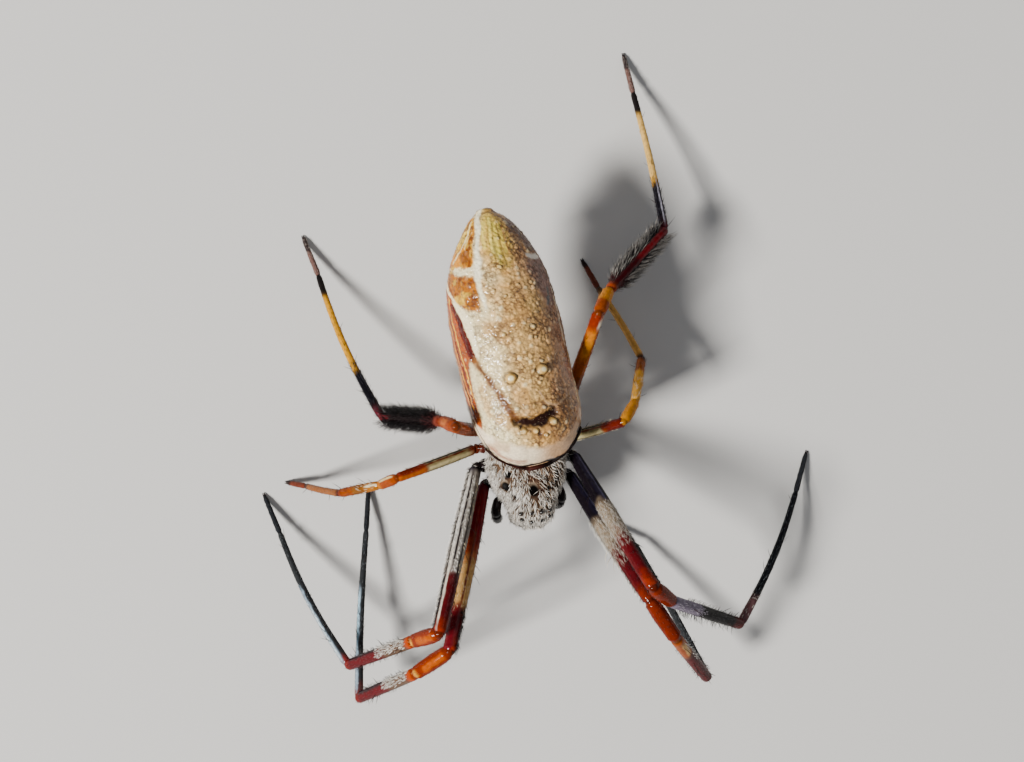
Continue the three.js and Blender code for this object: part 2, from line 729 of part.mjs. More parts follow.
const spider = new THREE.Group();
spider.name = "golden_silk_orb_weaver";
for (const [name, solid] of solids) {
  const { vertProperties, triVerts } = solid.translate(shift).getMesh();
  const geometry = new THREE.BufferGeometry();
  geometry.setAttribute("position", new THREE.BufferAttribute(vertProperties, 3));
  geometry.setIndex(new THREE.BufferAttribute(triVerts, 1));
  geometry.computeVertexNormals();
  const mesh = new THREE.Mesh(geometry, materials[slotOf.get(name)]);
  mesh.name = name;
  spider.add(mesh);
}

export default spider;
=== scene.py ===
# Golden silk orb weaver: the looks of the model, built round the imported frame.
# Shapes are worked out in millimetres on the source's own axes, and their meshes are made in metres.
import math

import bpy
import numpy as np
from mathutils import Matrix, Vector


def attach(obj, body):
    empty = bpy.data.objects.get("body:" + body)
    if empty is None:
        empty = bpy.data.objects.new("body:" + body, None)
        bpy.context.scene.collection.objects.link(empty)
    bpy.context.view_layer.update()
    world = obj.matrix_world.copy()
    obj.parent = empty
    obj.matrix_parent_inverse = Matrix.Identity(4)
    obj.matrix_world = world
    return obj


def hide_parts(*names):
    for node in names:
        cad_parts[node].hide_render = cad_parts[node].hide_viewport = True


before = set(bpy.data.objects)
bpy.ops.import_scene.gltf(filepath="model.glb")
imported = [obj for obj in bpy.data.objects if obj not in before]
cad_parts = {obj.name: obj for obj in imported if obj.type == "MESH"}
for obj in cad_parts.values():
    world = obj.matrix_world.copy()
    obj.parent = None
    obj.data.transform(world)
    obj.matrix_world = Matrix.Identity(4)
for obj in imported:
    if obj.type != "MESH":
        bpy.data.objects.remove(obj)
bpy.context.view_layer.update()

MM = 0.001
UP = np.array([0.0, 0.0, 1.0])

# How the source shifts the whole animal over its own outline
SHIFT = np.array([-0.6996021, -3.1752949, 0.0])

# Body placing: the waist between the two halves of the body
WAIST = np.array([0.0, 0.8, 8.0])
BODY_ROLL = 10.5
HEAD_TURN = -2.5
ABDOMEN_TURN = 3.4

# Front half of the body, measured from the waist
SHIELD_FRONT = -8.4
SHIELD_REAR = 0.1
SHIELD_LENGTH = SHIELD_REAR - SHIELD_FRONT
SHIELD_HALF_WIDTH = 3.2
SHIELD_RIM_HEIGHT = -0.35
SHIELD_PEAK = 1.95
SHIELD_UNDERSIDE = 0.35
SHIELD_COAT_DEPTH = 0.12

# Hips from the waist: sideways, along the body, up, and radius, front pair to hind pair
HIPS = [
    (3.25, -4.7, -1.4, 0.62), (3.8, -3.25, -1.3, 0.6), (3.7, -1.75, -1.2, 0.5), (2.95, -0.35, -1.1, 0.56),
]
RIGHT_HIP_REACH = 0.15
LEFT_HIP_REACH = 0.4

# Rear half of the body, measured from the waist
ABDOMEN_FRONT = -3.0
ABDOMEN_LENGTH = 19.9
ABDOMEN_HALF_WIDTH = 4.32
ABDOMEN_BELLY = 0.3
ABDOMEN_HEIGHT = 8.25
ABDOMEN_SIDE_SHIFT = -0.45
ABDOMEN_BEND = -0.18

# Pose: the places of each leg's joints, from knee to foot tip
FOOT_HEIGHT = 0.16
POSE = {
    "right_leg_1": [(-8.4, -15.3, 14.4), (-11.3, -16.9, 12.9), (-16.6, -19.8, 4.7), (-14.1, -6.7, 1.4),
                    (-13.4, -3.2, FOOT_HEIGHT)],
    "right_leg_2": [(-8.9, -13.4, 16.7), (-11.0, -14.1, 14.4), (-16.9, -16.7, 6.2), (-21.2, -5.8, 1.4),
                    (-22.1, -2.7, FOOT_HEIGHT)],
    "right_leg_3": [(-10.4, -1.7, 12.0), (-11.9, -2.2, 10.4), (-15.3, -2.6, 7.8), (-18.4, -2.2, 1.6),
                    (-20.0, -1.8, FOOT_HEIGHT)],
    "right_leg_4": [(-5.3, 1.9, 16.9), (-6.2, 2.3, 14.7), (-11.1, 2.9, 7.0), (-14.7, 14.9, 1.4),
                    (-15.5, 18.1, FOOT_HEIGHT)],
    "left_leg_1": [(7.5, -13.9, 13.9), (9.1, -17.3, 13.3), (11.9, -22.5, 5.4), (8.0, -11.4, 1.4),
                   (5.6, -8.8, FOOT_HEIGHT)],
    "left_leg_2": [(7.7, -12.5, 16.6), (9.1, -14.2, 14.2), (15.1, -18.3, 6.7), (22.0, -9.1, 1.4),
                   (23.5, -6.2, FOOT_HEIGHT)],
    "left_leg_3": [(7.75, -0.15, 11.3), (9.0, 1.1, 9.6), (10.35, 4.3, 6.3), (8.1, 10.4, 1.5),
                   (7.3, 12.7, FOOT_HEIGHT)],
    "left_leg_4": [(6.9, 8.6, 13.5), (8.1, 10.2, 11.7), (13.8, 14.3, 5.7), (13.4, 25.9, 1.4),
                   (13.2, 29.1, FOOT_HEIGHT)],
}
SHIN_BOW = {
    "right_leg_1": 0.15, "right_leg_2": 0.4, "right_leg_3": 0.1, "right_leg_4": 0.4, "left_leg_1": 0.1,
    "left_leg_2": 0.4, "left_leg_3": 0.1, "left_leg_4": 0.1,
}
SEGMENTS = ["coxa", "trochanter", "femur", "patella", "tibia", "metatarsus", "tarsus"]

# Leg thickness: radii at the start, middle and end of each segment, front pair to hind pair
FRONT_LEG_RADII = {
    "femur": (0.5, 0.64, 0.54), "patella": (0.56, 0.62, 0.56), "tibia": (0.5, 0.5, 0.46),
    "metatarsus": (0.36, 0.3, 0.24), "tarsus": (0.24, 0.22, 0.19),
}
LEG_RADII = [
    FRONT_LEG_RADII,
    FRONT_LEG_RADII,
    {"femur": (0.4, 0.42, 0.38), "patella": (0.4, 0.44, 0.4), "tibia": (0.36, 0.38, 0.34),
     "metatarsus": (0.29, 0.27, 0.25), "tarsus": (0.25, 0.23, 0.19)},
    {"femur": (0.45, 0.53, 0.48), "patella": (0.48, 0.52, 0.46), "tibia": (0.44, 0.45, 0.4),
     "metatarsus": (0.34, 0.28, 0.24), "tarsus": (0.24, 0.22, 0.19)},
]


# Small helpers
def tone(code):
    """A colour written as six hex digits, in linear light"""
    channels = np.array([int(code[i:i + 2], 16) / 255 for i in (0, 2, 4)])
    return np.where(channels <= 0.04045, channels / 12.92, ((channels + 0.055) / 1.055) ** 2.4)


def unit(vectors):
    """Vectors made one long"""
    vectors = np.asarray(vectors, float)
    return vectors / np.maximum(np.linalg.norm(vectors, axis=-1, keepdims=True), 1e-9)


def step(low, high, value):
    """Smooth rise from 0 at low to 1 at high"""
    t = np.clip((value - low) / (high - low), 0, 1)
    return t * t * (3 - 2 * t)


def bell(value, width):
    """A smooth hump, 1 where value is 0"""
    return np.exp(-(value / width) ** 2)


def mixed(first, second, share):
    """Colours blended point by point"""
    share = np.asarray(share)[..., None]
    return first * (1 - share) + second * share


def tinted(paint, code, share):
    """Paint with a share of one colour laid over it"""
    return mixed(paint, tone(code), share)


def two_tone(first, second, share):
    """Paint that goes from one colour to another"""
    return mixed(tone(first), tone(second), share)


def smooth_table(table, at):
    """A value read off a short table of pairs, on one smooth line through its rows"""
    x, y = np.array(table, float).T
    slope = np.diff(y) / np.diff(x)
    same = slope[:-1] * slope[1:] > 0
    total = np.where(same, slope[:-1] + slope[1:], 1)
    inner = np.where(same, 2 * slope[:-1] * slope[1:] / total, 0)
    tangent = np.concatenate([slope[:1], inner, slope[-1:]])
    at = np.clip(at, x[0], x[-1])
    i = np.clip(np.searchsorted(x, at) - 1, 0, len(x) - 2)
    width = x[i + 1] - x[i]
    t = (at - x[i]) / width
    start = (1 + 2 * t) * (1 - t) ** 2 * y[i] + t * (1 - t) ** 2 * width * tangent[i]
    return start + t * t * (3 - 2 * t) * y[i + 1] + t * t * (t - 1) * width * tangent[i + 1]


def corner_value(cell, seed):
    """A repeatable number from 0 to 1 for each corner of a lattice"""
    mix = cell[..., 0] * 73856093 ^ cell[..., 1] * 19349663 ^ cell[..., 2] * 83492791 ^ seed * 40503
    mix = (mix ^ (mix >> 13)) * 1274126177 & 0xFFFFFFFF
    mix = (mix ^ (mix >> 15)) * 2246822519 & 0xFFFFFFFF
    return (mix >> 8 & 0xFFFF) / 0xFFFF


def ripple(points, size, seed):
    """Smooth noise from -1 to 1, with hills about as wide as size"""
    places = np.asarray(points) / size
    cell = np.floor(places).astype(np.int64)
    part = places - cell
    part = part * part * (3 - 2 * part)
    total = 0
    for corner in np.ndindex(2, 2, 2):
        corner = np.array(corner)
        weight = np.prod(np.where(corner == 1, part, 1 - part), axis=-1)
        total = total + weight * corner_value(cell + corner, seed)
    return total * 2 - 1


def pebbles(points, size, seed):
    """Distances to the two nearest of many scattered points, in spacings, and a number for the nearest"""
    places = np.asarray(points) / size
    cell = np.floor(places).astype(np.int64)
    nearest = np.full(places.shape[:-1], 9.0)
    second = np.full(places.shape[:-1], 9.0)
    number = np.zeros(places.shape[:-1])
    for offset in np.ndindex(3, 3, 3):
        around = cell + np.array(offset) - 1
        jitter = np.stack([corner_value(around, seed + k) for k in range(3)], -1)
        distance = np.linalg.norm(around + jitter - places, axis=-1)
        closer = distance < nearest
        second = np.where(closer, nearest, np.minimum(second, distance))
        number = np.where(closer, corner_value(around, seed + 7), number)
        nearest = np.where(closer, distance, nearest)
    return nearest, second, number


def evened(values, times):
    """A line of values with its unevenness taken out, its two ends kept"""
    values = values.copy()
    for _ in range(times):
        values[1:-1] = (values[:-2] + 2 * values[1:-1] + values[2:]) / 4
    return values


def body_place(turn, points):
    """Points of one half of the body, set in place"""
    roll = Matrix.Rotation(math.radians(BODY_ROLL), 3, "Y")
    spin = Matrix.Rotation(math.radians(turn), 3, "Z")
    return np.asarray(points, float) @ np.array(roll @ spin).T + WAIST


def on_head(points):
    """Points of the front half, set in place"""
    return body_place(HEAD_TURN, points)


def rounded_rows(shares, first_turn, steps, front, rear):
    """Share, size and further for each ring of half the body, rounded off by front and rear mm"""
    turn = np.linspace(first_turn, math.pi / 2, steps)[:-1]
    start = [(0.0, math.sin(t), -front * math.cos(t)) for t in turn]
    middle = [(share, 1.0, 0.0) for share in shares]
    end = [(1.0, math.sin(t), rear * math.cos(t)) for t in turn[::-1]]
    return np.array(start + middle + end)


# Meshes from arrays
def make_piece(name, points, faces, material, paint, bake_places=None):
    """A smooth mesh object that rides on the root body"""
    places = (np.asarray(points) + SHIFT) * MM
    corners = np.concatenate([group.ravel() for group in faces]).astype(np.int32)
    sizes = np.concatenate([np.full(len(group), group.shape[1]) for group in faces])
    starts = np.concatenate([[0], np.cumsum(sizes)[:-1]]).astype(np.int32)
    mesh = bpy.data.meshes.new(name)
    mesh.vertices.add(len(places))
    mesh.vertices.foreach_set("co", places.astype(np.float32).ravel())
    mesh.loops.add(len(corners))
    mesh.loops.foreach_set("vertex_index", corners)
    mesh.polygons.add(len(sizes))
    mesh.polygons.foreach_set("loop_start", starts)
    mesh.polygons.foreach_set("use_smooth", np.ones(len(sizes), bool))
    mesh.update(calc_edges=True)
    colours = np.ones((len(places), 4), np.float32)
    colours[:, :3] = np.clip(paint, 0, 1)
    layer = mesh.color_attributes.new("paint", "FLOAT_COLOR", "POINT")
    layer.data.foreach_set("color", colours.ravel())
    if bake_places is not None:
        uv = mesh.uv_layers.new(name="OFBake")
        uv.data.foreach_set("uv", np.asarray(bake_places)[corners].astype(np.float32).ravel())
    mesh.materials.append(material)
    piece = bpy.data.objects.new(name, mesh)
    bpy.context.scene.collection.objects.link(piece)
    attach(piece, "root")
    return piece


def tube_faces(rows, columns):
    """Faces of a closed skin through rings of points, with one more point at each end"""
    row, column = np.meshgrid(np.arange(rows - 1), np.arange(columns), indexing="ij")
    a = (row * columns + column).ravel()
    b = (row * columns + (column + 1) % columns).ravel()
    quads = np.stack([a, a + columns, b + columns, b], -1)
    around = np.arange(columns)
    after = (around + 1) % columns
    last = (rows - 1) * columns
    first_cap = np.stack([np.full(columns, rows * columns), around, after], -1)
    last_cap = np.stack([np.full(columns, rows * columns + 1), last + after, last + around], -1)
    return quads, np.vstack([first_cap, last_cap])


def turned_outward(points, faces):
    """Faces in the order that makes a closed mesh's normals point out"""
    quads, caps = faces
    triangles = np.vstack([quads[:, :3], quads[:, [0, 2, 3]], caps])
    a, b, c = (points[triangles[:, k]] for k in range(3))
    if np.einsum("ij,ij->i", a, np.cross(b, c)).sum() < 0:
        return [group[:, ::-1] for group in faces]
    return list(faces)


class Skin:
    """Rings of points round a body part, with the directions and colours that its coat needs"""

    def __init__(self, rings):
        self.rings = rings
        self.rows, self.columns = rings.shape[:2]
        self.paint = np.ones_like(rings)
        self.measure()

    def measure(self):
        """Finds the directions along the skin and out of it"""
        middle = self.rings.mean(axis=1, keepdims=True)
        around = np.roll(self.rings, -1, axis=1) - np.roll(self.rings, 1, axis=1)
        along = np.gradient(self.rings, axis=0)
        self.along = unit(along)
        normal = unit(np.cross(around, along))
        if np.sum(normal * (self.rings - middle)) < 0:
            normal = -normal
        self.normal = normal

    def raise_by(self, height):
        """Moves the skin out along its normals"""
        self.rings = self.rings + self.normal * np.asarray(height)[..., None]
        self.measure()

    def way(self):
        """Share of the way from the first ring to the last, point by point"""
        return np.linspace(0, 1, self.rows)[:, None] * np.ones((1, self.columns))

    def cell_sizes(self):
        """Size in square mm of each cell between two rings"""
        start = self.rings[:-1]
        side = np.roll(start, -1, axis=1) - start
        down = self.rings[1:] - start
        return np.linalg.norm(np.cross(side, down), axis=-1)

    def scatter(self, density, weight, random):
        """Rows and columns of places spread evenly over the skin, thinned where weight is low"""
        area = self.cell_sizes() * np.clip(weight[:-1], 0, None)
        count = int(area.sum() * density)
        if count == 0:
            return np.zeros(0), np.zeros(0)
        pick = random.choice(area.size, count, p=area.ravel() / area.sum())
        row, column = np.divmod(pick, self.columns)
        return row + random.random(count), column + random.random(count)

    def read(self, grid, row, column):
        """A grid's values between its points"""
        i = np.clip(row.astype(int), 0, self.rows - 2)
        j = column.astype(int) % self.columns
        k = (j + 1) % self.columns
        down = row - i
        across = column - column.astype(int)
        if grid.ndim == 3:
            down = down[:, None]
            across = across[:, None]
        upper = grid[i, j] * (1 - across) + grid[i, k] * across
        lower = grid[i + 1, j] * (1 - across) + grid[i + 1, k] * across
        return upper * (1 - down) + lower * down

    def closed(self, grid):
        """The rows of a grid, and one more for the middle of each end"""
        return np.vstack([grid.reshape(-1, 3), grid[0].mean(axis=0), grid[-1].mean(axis=0)])

    def make(self, name, material, slot):
        """The skin as a piece"""
        return make_skins(name, [self], material)


def make_skins(name, skins, material):
    """One or more closed skins as one mesh"""
    points, paint, quads, caps = [], [], [], []
    first = 0
    for skin in skins:
        body = skin.closed(skin.rings)
        own_quads, own_caps = turned_outward(body, tube_faces(skin.rows, skin.columns))
        points.append(body)
        paint.append(skin.closed(skin.paint))
        quads.append(own_quads + first)
        caps.append(own_caps + first)
        first += len(body)
    faces = [np.vstack(quads), np.vstack(caps)]
    return make_piece(name, np.vstack(points), faces, material, np.vstack(paint))


class Coat:
    """Thin three-sided tapered hairs, gathered into one mesh"""
    SIDES = np.array([0, 2, 4]) * math.pi / 3
    ROOT_DEPTH = 0.03
    FLATNESS = 0.7
    FLOOR_GAP = 0.01
    BAKE_SIZE = 0.0015
    # Share of the length up to the bend and past it, and share of the thickness at the root and the bend
    LOWER, UPPER = 0.55, 0.45
    ROOT_SIZE, BEND_SIZE = 0.5, 0.4

    def __init__(self):
        self.points = []
        self.paint = []
        self.places = []

    def add(self, skin, random, density, weight, length, width, lift, curl, root, tip,
            lie=None, spread=0.3, own=0.0, vary=0.12, patch=(0.01, 0.01, 0.98, 0.98)):
        """Hairs over a skin. density is in hairs per square mm, and length and width are in mm. lift is their
        angle off the skin in radians and curl how far they bend back to it. root and tip are colours, and own
        is the share of the skin's colour in them. patch is where they lie in the UV map"""
        row, column = skin.scatter(density, weight, random)
        count = len(row)
        if count == 0:
            return
        base = skin.read(skin.rings, row, column)
        normal = unit(skin.read(skin.normal, row, column))
        flow = skin.read(skin.along if lie is None else lie, row, column)
        flow = unit(flow - normal * np.sum(flow * normal, -1, keepdims=True))
        side = np.cross(normal, flow)
        swing = random.normal(0, spread, count)[:, None]
        flow = flow * np.cos(swing) + side * np.sin(swing)
        length = length * random.uniform(0.65, 1.15, count)[:, None]
        lift = np.clip(lift + random.normal(0, 0.12, count), 0.02, 1.5)[:, None]
        shade = 1 + random.normal(0, vary, count)[:, None]
        below = skin.read(skin.paint, row, column)
        root = (tone(root) * (1 - own) + below * own) * shade
        tip = (tone(tip) * (1 - own) + below * own) * shade
        first = normal * np.sin(lift) + flow * np.cos(lift)
        last = normal * np.sin(lift - curl) + flow * np.cos(lift - curl)
        start = base - normal * self.ROOT_DEPTH
        bend = start + first * length * self.LOWER
        end = bend + last * length * self.UPPER
        across = unit(np.cross(first, normal))
        over = np.cross(across, first)
        spot = np.stack([patch[0] + (patch[2] - patch[0]) * row / skin.rows,
                         patch[1] + (patch[3] - patch[1]) * (column % skin.columns) / skin.columns], -1)
        for centre, size, colour in ((start, self.ROOT_SIZE, root), (bend, self.BEND_SIZE, (root + tip) / 2)):
            for angle in self.SIDES:
                offset = across * math.cos(angle) + over * math.sin(angle) * self.FLATNESS
                beside = self.BAKE_SIZE * size * 2 * np.array([math.cos(angle), math.sin(angle)])
                self.add_points(centre + offset * width * size, colour, spot + beside)
        self.add_points(end, tip, spot)

    def add_points(self, points, colour, place):
        """One point of each hair, kept clear of the floor"""
        height = np.maximum(points[:, 2:], self.FLOOR_GAP)
        self.points.append(np.concatenate([points[:, :2], height], 1))
        self.paint.append(colour)
        self.places.append(place)

    def make(self, name, material, slot):
        """One mesh of all the hairs: seven points and ten triangles each"""
        root_and_tip = [(0, 2, 1), (3, 4, 6), (4, 5, 6), (5, 3, 6)]
        sides = [(0, 1, 4, 3), (1, 2, 5, 4), (2, 0, 3, 5)]
        each = 7
        points, paint, places, triangles, quads = [], [], [], [], []
        first = 0
        for i in range(0, len(self.points), each):
            count = len(self.points[i])
            points.append(np.stack(self.points[i:i + each], 1).reshape(-1, 3))
            paint.append(np.stack(self.paint[i:i + each], 1).reshape(-1, 3))
            places.append(np.stack(self.places[i:i + each], 1).reshape(-1, 2))
            roots = first + each * np.arange(count)[:, None, None]
            triangles.append((roots + np.array(root_and_tip)).reshape(-1, 3))
            quads.append((roots + np.array(sides)).reshape(-1, 4))
            first += each * count
        points = np.vstack(points)
        faces = turned_outward(points, [np.vstack(quads), np.vstack(triangles)])
        return make_piece(name, points, faces, material, np.vstack(paint), np.vstack(places))


# Materials
NOISE_RANGE = (0.3, 0.7)


def noise(tree, size, detail):
    """Soft noise with hills about size mm wide"""
    place = tree.nodes.new("ShaderNodeTexCoord")
    cloud = tree.nodes.new("ShaderNodeTexNoise")
    cloud.inputs["Scale"].default_value = 1 / (size * MM)
    cloud.inputs["Detail"].default_value = detail
    tree.links.new(place.outputs["Object"], cloud.inputs["Vector"])
    return cloud.outputs["Fac"]


def ranged(tree, value, low, high):
    """A noise's usual range, moved to a range from low to high"""
    node = tree.nodes.new("ShaderNodeMapRange")
    ends = {"From Min": NOISE_RANGE[0], "From Max": NOISE_RANGE[1], "To Min": low, "To Max": high}
    for name, end in ends.items():
        node.inputs[name].default_value = end
    tree.links.new(value, node.inputs["Value"])
    return node.outputs["Result"]


def painted_material(name, roughness, grain=None, mottle=None, coat=0.0, coat_roughness=0.2, specular=0.5):
    """A surface that takes its colour from the mesh's paint. grain is the size and the depth in mm of its
    finest relief. mottle is the size in mm and the strength of its small changes in colour"""
    rough_range = 0.1
    material = bpy.data.materials.new(name)
    material.use_nodes = True
    tree = material.node_tree
    shader = tree.nodes["Principled BSDF"]
    paint = tree.nodes.new("ShaderNodeVertexColor")
    paint.layer_name = "paint"
    colour = paint.outputs["Color"]
    shader.inputs["Roughness"].default_value = roughness
    if mottle:
        size, strength = mottle
        cloud = noise(tree, size, 3)
        change = tree.nodes.new("ShaderNodeVectorMath")
        change.operation = "SCALE"
        tree.links.new(colour, change.inputs[0])
        tree.links.new(ranged(tree, cloud, 1 - strength, 1 + strength), change.inputs["Scale"])
        colour = change.outputs["Vector"]
        dull = ranged(tree, cloud, roughness - rough_range, roughness + rough_range)
        tree.links.new(dull, shader.inputs["Roughness"])
    tree.links.new(colour, shader.inputs["Base Color"])
    if grain:
        size, depth = grain
        bump = tree.nodes.new("ShaderNodeBump")
        bump.inputs["Strength"].default_value = 1.0
        bump.inputs["Distance"].default_value = depth * MM
        tree.links.new(noise(tree, size, 4), bump.inputs["Height"])
        tree.links.new(bump.outputs["Normal"], shader.inputs["Normal"])
    shader.inputs["Specular IOR Level"].default_value = specular
    shader.inputs["Coat Weight"].default_value = coat
    shader.inputs["Coat Roughness"].default_value = coat_roughness
    return material


ABDOMEN_SKIN = painted_material("abdomen_skin", 0.42, grain=(0.07, 0.02), mottle=(0.22, 0.16), coat=0.45,
                                coat_roughness=0.12, specular=0.08)
SHIELD_SKIN = painted_material("shield_skin", 0.5, grain=(0.08, 0.015), mottle=(0.3, 0.2), specular=0.05)
LEG_SKIN = painted_material("leg_skin", 0.36, grain=(0.07, 0.012), mottle=(0.3, 0.2), coat=0.28,
                            coat_roughness=0.1, specular=0.0)
JOINT_SKIN = painted_material("joint_skin", 0.5, grain=(0.08, 0.02), mottle=(0.25, 0.2))
DARK_EDGE = painted_material("dark_edge", 0.5, mottle=(0.25, 0.2), specular=0.1)
DARK_SHELL = painted_material("dark_shell", 0.3, grain=(0.1, 0.008), mottle=(0.4, 0.2), coat=0.3,
                              coat_roughness=0.12, specular=0.1)
EYE_GLASS = painted_material("eye_glass", 0.06, coat=1.0, coat_roughness=0.03, specular=0.6)
HAIR = painted_material("hair", 0.36, specular=0.4, mottle=(0.4, 0.12))
DARK_HAIR = painted_material("dark_hair", 0.5, specular=0.1, mottle=(0.5, 0.12))


# The abdomen: tables from front to tail, as in the source
ABDOMEN_WIDTH_TABLE = [
    (0, 0.3), (0.012, 0.48), (0.04, 0.68), (0.08, 0.82), (0.13, 0.93), (0.2, 0.99), (0.3, 1), (0.42, 0.995),
    (0.55, 1), (0.66, 0.97), (0.76, 0.88), (0.85, 0.72), (0.92, 0.52), (0.97, 0.34), (1, 0.16),
]
ABDOMEN_BELLY_TABLE = [
    (0, 0.46), (0.012, 0.4), (0.04, 0.31), (0.08, 0.25), (0.13, 0.21), (0.19, 0.13), (0.26, 0.04), (0.36, 0),
    (0.6, 0), (0.72, 0.05), (0.82, 0.15), (0.9, 0.28), (0.96, 0.4), (1, 0.5),
]
ABDOMEN_BACK_TABLE = [
    (0, 0.64), (0.012, 0.72), (0.04, 0.82), (0.08, 0.9), (0.14, 0.96), (0.22, 1), (0.5, 1), (0.64, 0.96),
    (0.76, 0.89), (0.86, 0.8), (0.94, 0.7), (0.98, 0.63), (1, 0.58),
]


def abdomen_half_width(share):
    """Half the abdomen's width in mm at a share of its length"""
    return ABDOMEN_HALF_WIDTH * smooth_table(ABDOMEN_WIDTH_TABLE, share)


def abdomen_point(share, angle, size=1.0, further=0.0):
    """A point of the abdomen before it is set in place, at an angle from the middle of the back.
    size shrinks the section, and further moves it to the tail"""
    share = np.asarray(share, float)
    belly = ABDOMEN_BELLY + ABDOMEN_HEIGHT * smooth_table(ABDOMEN_BELLY_TABLE, share)
    back = ABDOMEN_BELLY + ABDOMEN_HEIGHT * smooth_table(ABDOMEN_BACK_TABLE, share)
    middle = ABDOMEN_SIDE_SHIFT + ABDOMEN_BEND * np.sin(np.pi * share)
    x = middle + abdomen_half_width(share) * size * np.sin(angle)
    y = ABDOMEN_FRONT + ABDOMEN_LENGTH * share + further + 0 * x
    z = (belly + back) / 2 + (back - belly) / 2 * size * np.cos(angle)
    return np.stack([x, y, z], -1)


# Raised cream buttons on the back: share of its length, angle from its middle line, radius and height in mm
BUTTONS = [
    (0.361, -0.31, 0.4, 0.27), (0.367, 0.29, 0.38, 0.27), (0.527, -0.27, 0.2, 0.08),
    (0.533, 0.29, 0.21, 0.13), (0.669, -0.08, 0.15, 0.08), (0.701, 0.5, 0.17, 0.07),
    (0.493, 0.3, 0.13, 0.08), (0.697, -0.28, 0.17, 0.06), (0.703, 0.2, 0.13, 0.06),
    (0.347, -0.1, 0.13, 0.07), (0.535, -0.12, 0.11, 0.06), (0.163, 0.3, 0.27, 0.15),
    (0.141, -0.07, 0.22, 0.1), (0.151, -0.3, 0.26, 0.09), (0.117, 0.12, 0.17, 0.08),
]

# Dimples where muscles hold the back: share of its length, angle, radius and depth in mm
DIMPLES = [
    (0.246, 0.04, 0.12, 0.1), (0.127, 0.0, 0.13, 0.16), (0.147, -0.19, 0.12, 0.12), (0.137, 0.47, 0.1, 0.06),
    (0.447, -0.02, 0.12, 0.05), (0.605, 0.1, 0.12, 0.05),
]

# Filled marks that lie under the brown network: colour, softness in mm, waver in mm, strength, and corners
# (share, angle)
ABDOMEN_FIELDS = [
    ("f0cc50", 0.6, 0.3, 0.85, [(1.0, -0.5), (1.0, 0.3), (0.957, 0.53), (0.913, 0.43), (0.854, 0.34),
     (0.781, 0.12), (0.773, -0.06), (0.818, -0.19), (0.856, -0.32), (0.901, -0.4)]),
    ("c09270", 0.9, 0.35, 0.5, [(0.763, 0.44), (0.677, 0.42), (0.578, 0.58), (0.446, 0.65), (0.368, 0.6),
     (0.21, 0.5), (0.167, 0.61), (0.21, 1.3), (0.605, 1.4), (0.803, 1.3)]),
    ("cc8208", 0.12, 0.16, 1.0, [(0.985, -0.95), (0.99, -1.9), (0.812, -1.9), (0.81, -1.22),
     (0.799, -0.7), (0.82, -0.62), (0.864, -0.65), (0.921, -0.67), (0.966, -0.74)]),
    ("e9c23c", 0.3, 0.2, 0.9, [(0.976, -0.95), (0.951, -1.9), (0.887, -1.9), (0.878, -1.32),
     (0.901, -1.04), (0.941, -0.88)]),
    ("7c4212", 0.25, 0.16, 0.85, [(0.862, -1.2), (0.874, -0.89), (0.854, -0.68), (0.817, -0.68),
     (0.814, -1.0)]),
    ("ac6408", 0.15, 0.16, 1.0, [(0.804, -1.9), (0.74, -1.9), (0.697, -1.34), (0.671, -1.07),
     (0.64, -0.86), (0.63, -0.6), (0.667, -0.57), (0.721, -0.6), (0.768, -0.62), (0.778, -1.1),
     (0.803, -1.44)]),
    ("664a44", 0.35, 0.25, 0.95, [(0.956, 0.6), (0.961, 1.6), (0.812, 1.6), (0.803, 1.23), (0.82, 0.82),
     (0.858, 0.8), (0.883, 0.7), (0.921, 0.56)]),
    ("947068", 0.4, 0.3, 0.85, [(0.785, 0.7), (0.793, 1.5), (0.654, 1.5), (0.605, 1.1), (0.58, 0.76),
     (0.667, 0.66), (0.711, 0.58), (0.752, 0.53)]),
    ("a85a2a", 0.25, 0.15, 0.75, [(0.437, 0.98), (0.408, 1.3), (0.289, 1.3), (0.306, 0.95), (0.347, 0.9)]),
    ("a44400", 0.12, 0.1, 1.0, [(0.763, -1.62), (0.694, -1.33), (0.655, -1.24), (0.605, -1.13),
     (0.556, -1.06), (0.506, -1.02), (0.455, -0.98), (0.437, -1.12), (0.388, -1.15), (0.309, -1.15),
     (0.21, -1.12), (0.151, -1.3), (0.151, -2.0), (0.803, -2.2)]),
    # The last field is a soft brown painted shade on the left-hand side of the front, beside the fold
    ("8c5e3c", 0.8, 0.3, 0.65, [(0.115, 0.0), (0.105, 0.35), (0.13, 0.75), (0.24, 0.75), (0.28, 0.5),
     (0.19, 0.3), (0.15, 0.1)]),
]

# Those of them that are the two large orange patches
ORANGE_FIELDS = (2, 5)
